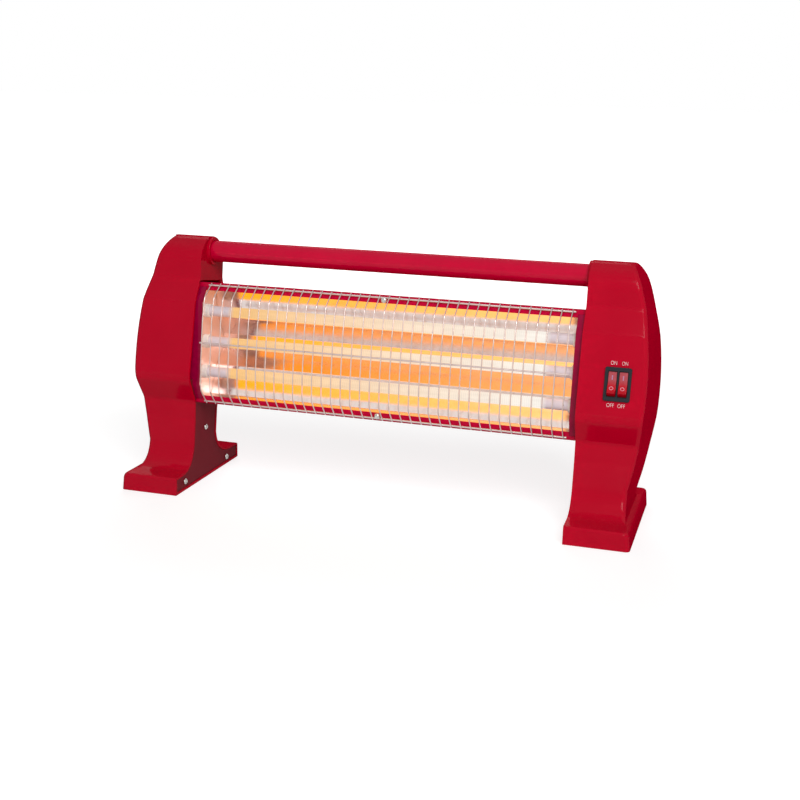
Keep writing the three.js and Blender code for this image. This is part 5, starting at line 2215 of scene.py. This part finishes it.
@dataclass
class CordInlet:
    """The gland that the supply cord goes through, and the nut inside the leg."""

    palette: Palette
    place: Matrix
    wall: float = 2.5
    bore: float = 4.5
    barrel: float = 7.2
    flange: float = 10.0
    flange_height: float = 2.4
    mouth: float = 1.2
    mouth_depth: float = 1.0
    reach: float = 9.0

    def build(self) -> None:
        """Makes the gland, with its flange outside and its mouth flared, and the nut."""
        gap = LAYOUT.gap
        bottom, top = -self.wall - self.reach, gap + self.flange_height
        section = [
            (self.bore, bottom, 0.4),
            (self.barrel, bottom, 0.6),
            (self.barrel, gap, 0.2),
            (self.flange, gap, 0.3),
            (self.flange, top, 0.9),
            (self.bore + self.mouth, top, 0.5),
            (self.bore, top - self.mouth_depth, 0.4),
        ]
        black = self.palette["black_plastic"]
        bm = moved(lathed(section, turn=22, steps=64), self.place @ along_y())
        finished(bm, "gland_piece", black, ["cord_gland"])
        refined("gland_nut", width=0.4, look=black)


# ---- Studio ----


@dataclass(frozen=True)
class SoftLamp:
    """A soft square lamp: where it stands and the length of its side in metres, and its power."""

    name: str
    place: Corner
    side: float
    watts: float

    def build(self, target: Vector) -> None:
        """Hangs the lamp and turns it.

        Args:
            target: The point that it faces.
        """
        light = bpy.data.lights.new(self.name, "AREA")
        light.size, light.energy = self.side, self.watts
        lamp = linked(self.name, light)
        lamp.location = self.place
        lamp.rotation_euler = (target - Vector(self.place)).to_track_quat("-Z", "Y").to_euler()


LAMPS = (
    SoftLamp("key", (0.9, -1.9, 1.7), 1.5, 60.0),
    SoftLamp("fill", (-2.0, -1.2, 0.8), 1.2, 1.0),
    SoftLamp("back", (-0.7, 1.9, 1.3), 1.5, 30.0),
)


@dataclass
class Studio:
    """Floor, light and camera.

    Attributes:
        around: Strength of the light from all round.
        lit_floor, seen_floor: Shade of the floor under the lamps, and where it is seen.
        near_glow, far_glow: A distance from the heater, and the floor's own glow there.
    """

    camera_place: Corner = (0.3674, -1.1820, 0.4147)
    yaw: float = math.radians(16.606)
    pitch: float = math.radians(14.112)
    roll: float = math.radians(1.384)
    lens: float = 56.18
    sensor: float = 36.0
    far_clip: float = 100.0
    target: Corner = (0, 0, 0.14)
    around: float = 0.11
    floor_size: float = 30.0
    floor_drop: float = 0.0004
    lit_floor: float = 0.8
    seen_floor: float = 0.4
    near_glow: Point = (0.45, 0.71)
    far_glow: Point = (1.4, 1.0)

    @staticmethod
    def surface(tree: Tree, plain: Socket, white: Socket, output: str) -> None:
        """Ends a tree with a shader that is white for what the camera, a gloss or a glass sees.

        Args:
            tree: The tree.
            plain: The shader for all other rays.
            white: The shader for those.
            output: The kind of output node.
        """
        path = tree.add("LightPath")
        seen = tree.sum("MAXIMUM", path.outputs["Is Camera Ray"], path.outputs["Is Glossy Ray"])
        seen = tree.sum("MAXIMUM", seen, path.outputs["Is Transmission Ray"])
        tree.add(output, {"Surface": tree.add("MixShader", {0: seen, 1: plain, 2: white}).outputs[0]})

    def floor(self) -> None:
        """A white floor that keeps the heater's soft shadow."""
        bm = bmesh.new()
        bmesh.ops.create_grid(bm, x_segments=1, y_segments=1, size=self.floor_size)
        floor = linked("floor", as_data(bm, "floor"))
        floor.location.z = -self.floor_drop
        material = bpy.data.materials.new("white_floor")
        material.use_nodes = True
        tree = Tree(material.node_tree)
        plain, under = (
            tree.add("BsdfDiffuse", {"Color": shade((level,) * 3)}).outputs[0]
            for level in (self.lit_floor, self.seen_floor)
        )
        away = tree.add("VectorMath", {0: tree.here()}, operation="LENGTH").outputs["Value"]
        level = tree.spread(away, self.near_glow, self.far_glow)
        glow = tree.add("Emission", {"Color": WHITE, "Strength": level}).outputs[0]
        bright = tree.add("AddShader", {0: under, 1: glow}).outputs[0]
        self.surface(tree, plain, bright, "OutputMaterial")
        floor.data.materials.append(material)

    def world(self) -> None:
        """Even light from all round, white where it is seen."""
        world = bpy.data.worlds.new("studio")
        bpy.context.scene.world = world
        world.use_nodes = True
        tree = Tree(world.node_tree)
        soft = tree.add("Background", {"Color": WHITE, "Strength": self.around}).outputs[0]
        white = tree.add("Background", {"Color": WHITE, "Strength": 1.0}).outputs[0]
        self.surface(tree, soft, white, "OutputWorld")

    def camera(self) -> None:
        """The camera at the photograph's angle."""
        level = math.cos(self.pitch)
        fwd = Vector((-math.sin(self.yaw) * level, math.cos(self.yaw) * level, -math.sin(self.pitch)))
        right = Vector((math.cos(self.yaw), math.sin(self.yaw), 0))
        up = right.cross(fwd)
        turned_right = right * math.cos(self.roll) + up * math.sin(self.roll)
        turned_up = up * math.cos(self.roll) - right * math.sin(self.roll)
        lens = bpy.data.cameras.new("camera")
        lens.lens, lens.sensor_width, lens.clip_end = self.lens, self.sensor, self.far_clip
        camera = linked("camera", lens)
        axes = Matrix((turned_right, turned_up, -fwd)).transposed().to_4x4()
        camera.matrix_world = Matrix.Translation(self.camera_place) @ axes
        bpy.context.scene.camera = camera

    def build(self) -> None:
        """Sets the whole studio up."""
        self.camera()
        self.floor()
        self.world()
        for lamp in LAMPS:
            lamp.build(Vector(self.target))
        bpy.context.scene.view_settings.view_transform = "Standard"


# ---- The whole heater ----


def main() -> None:
    """Builds the studio, then every piece in order."""
    logging.basicConfig(level=logging.INFO, format="%(name)s: %(message)s")
    Studio().build()
    palette = Palette()
    palette.dress_nodes()
    shells = {side: EndShell(side, palette) for side in Side}
    for shell in shells.values():
        shell.build()
    Handle(palette).build()
    HeatingUnit(palette).build()
    WireGuard(palette).build()
    LegCovers(palette).build()
    RockerSwitch(palette, shells[Side.RIGHT].switch_place()).build()
    CordInlet(palette, shells[Side.RIGHT].inlet_place()).build()
    bpy.context.view_layer.update()


if __name__ == "__main__":
    main()
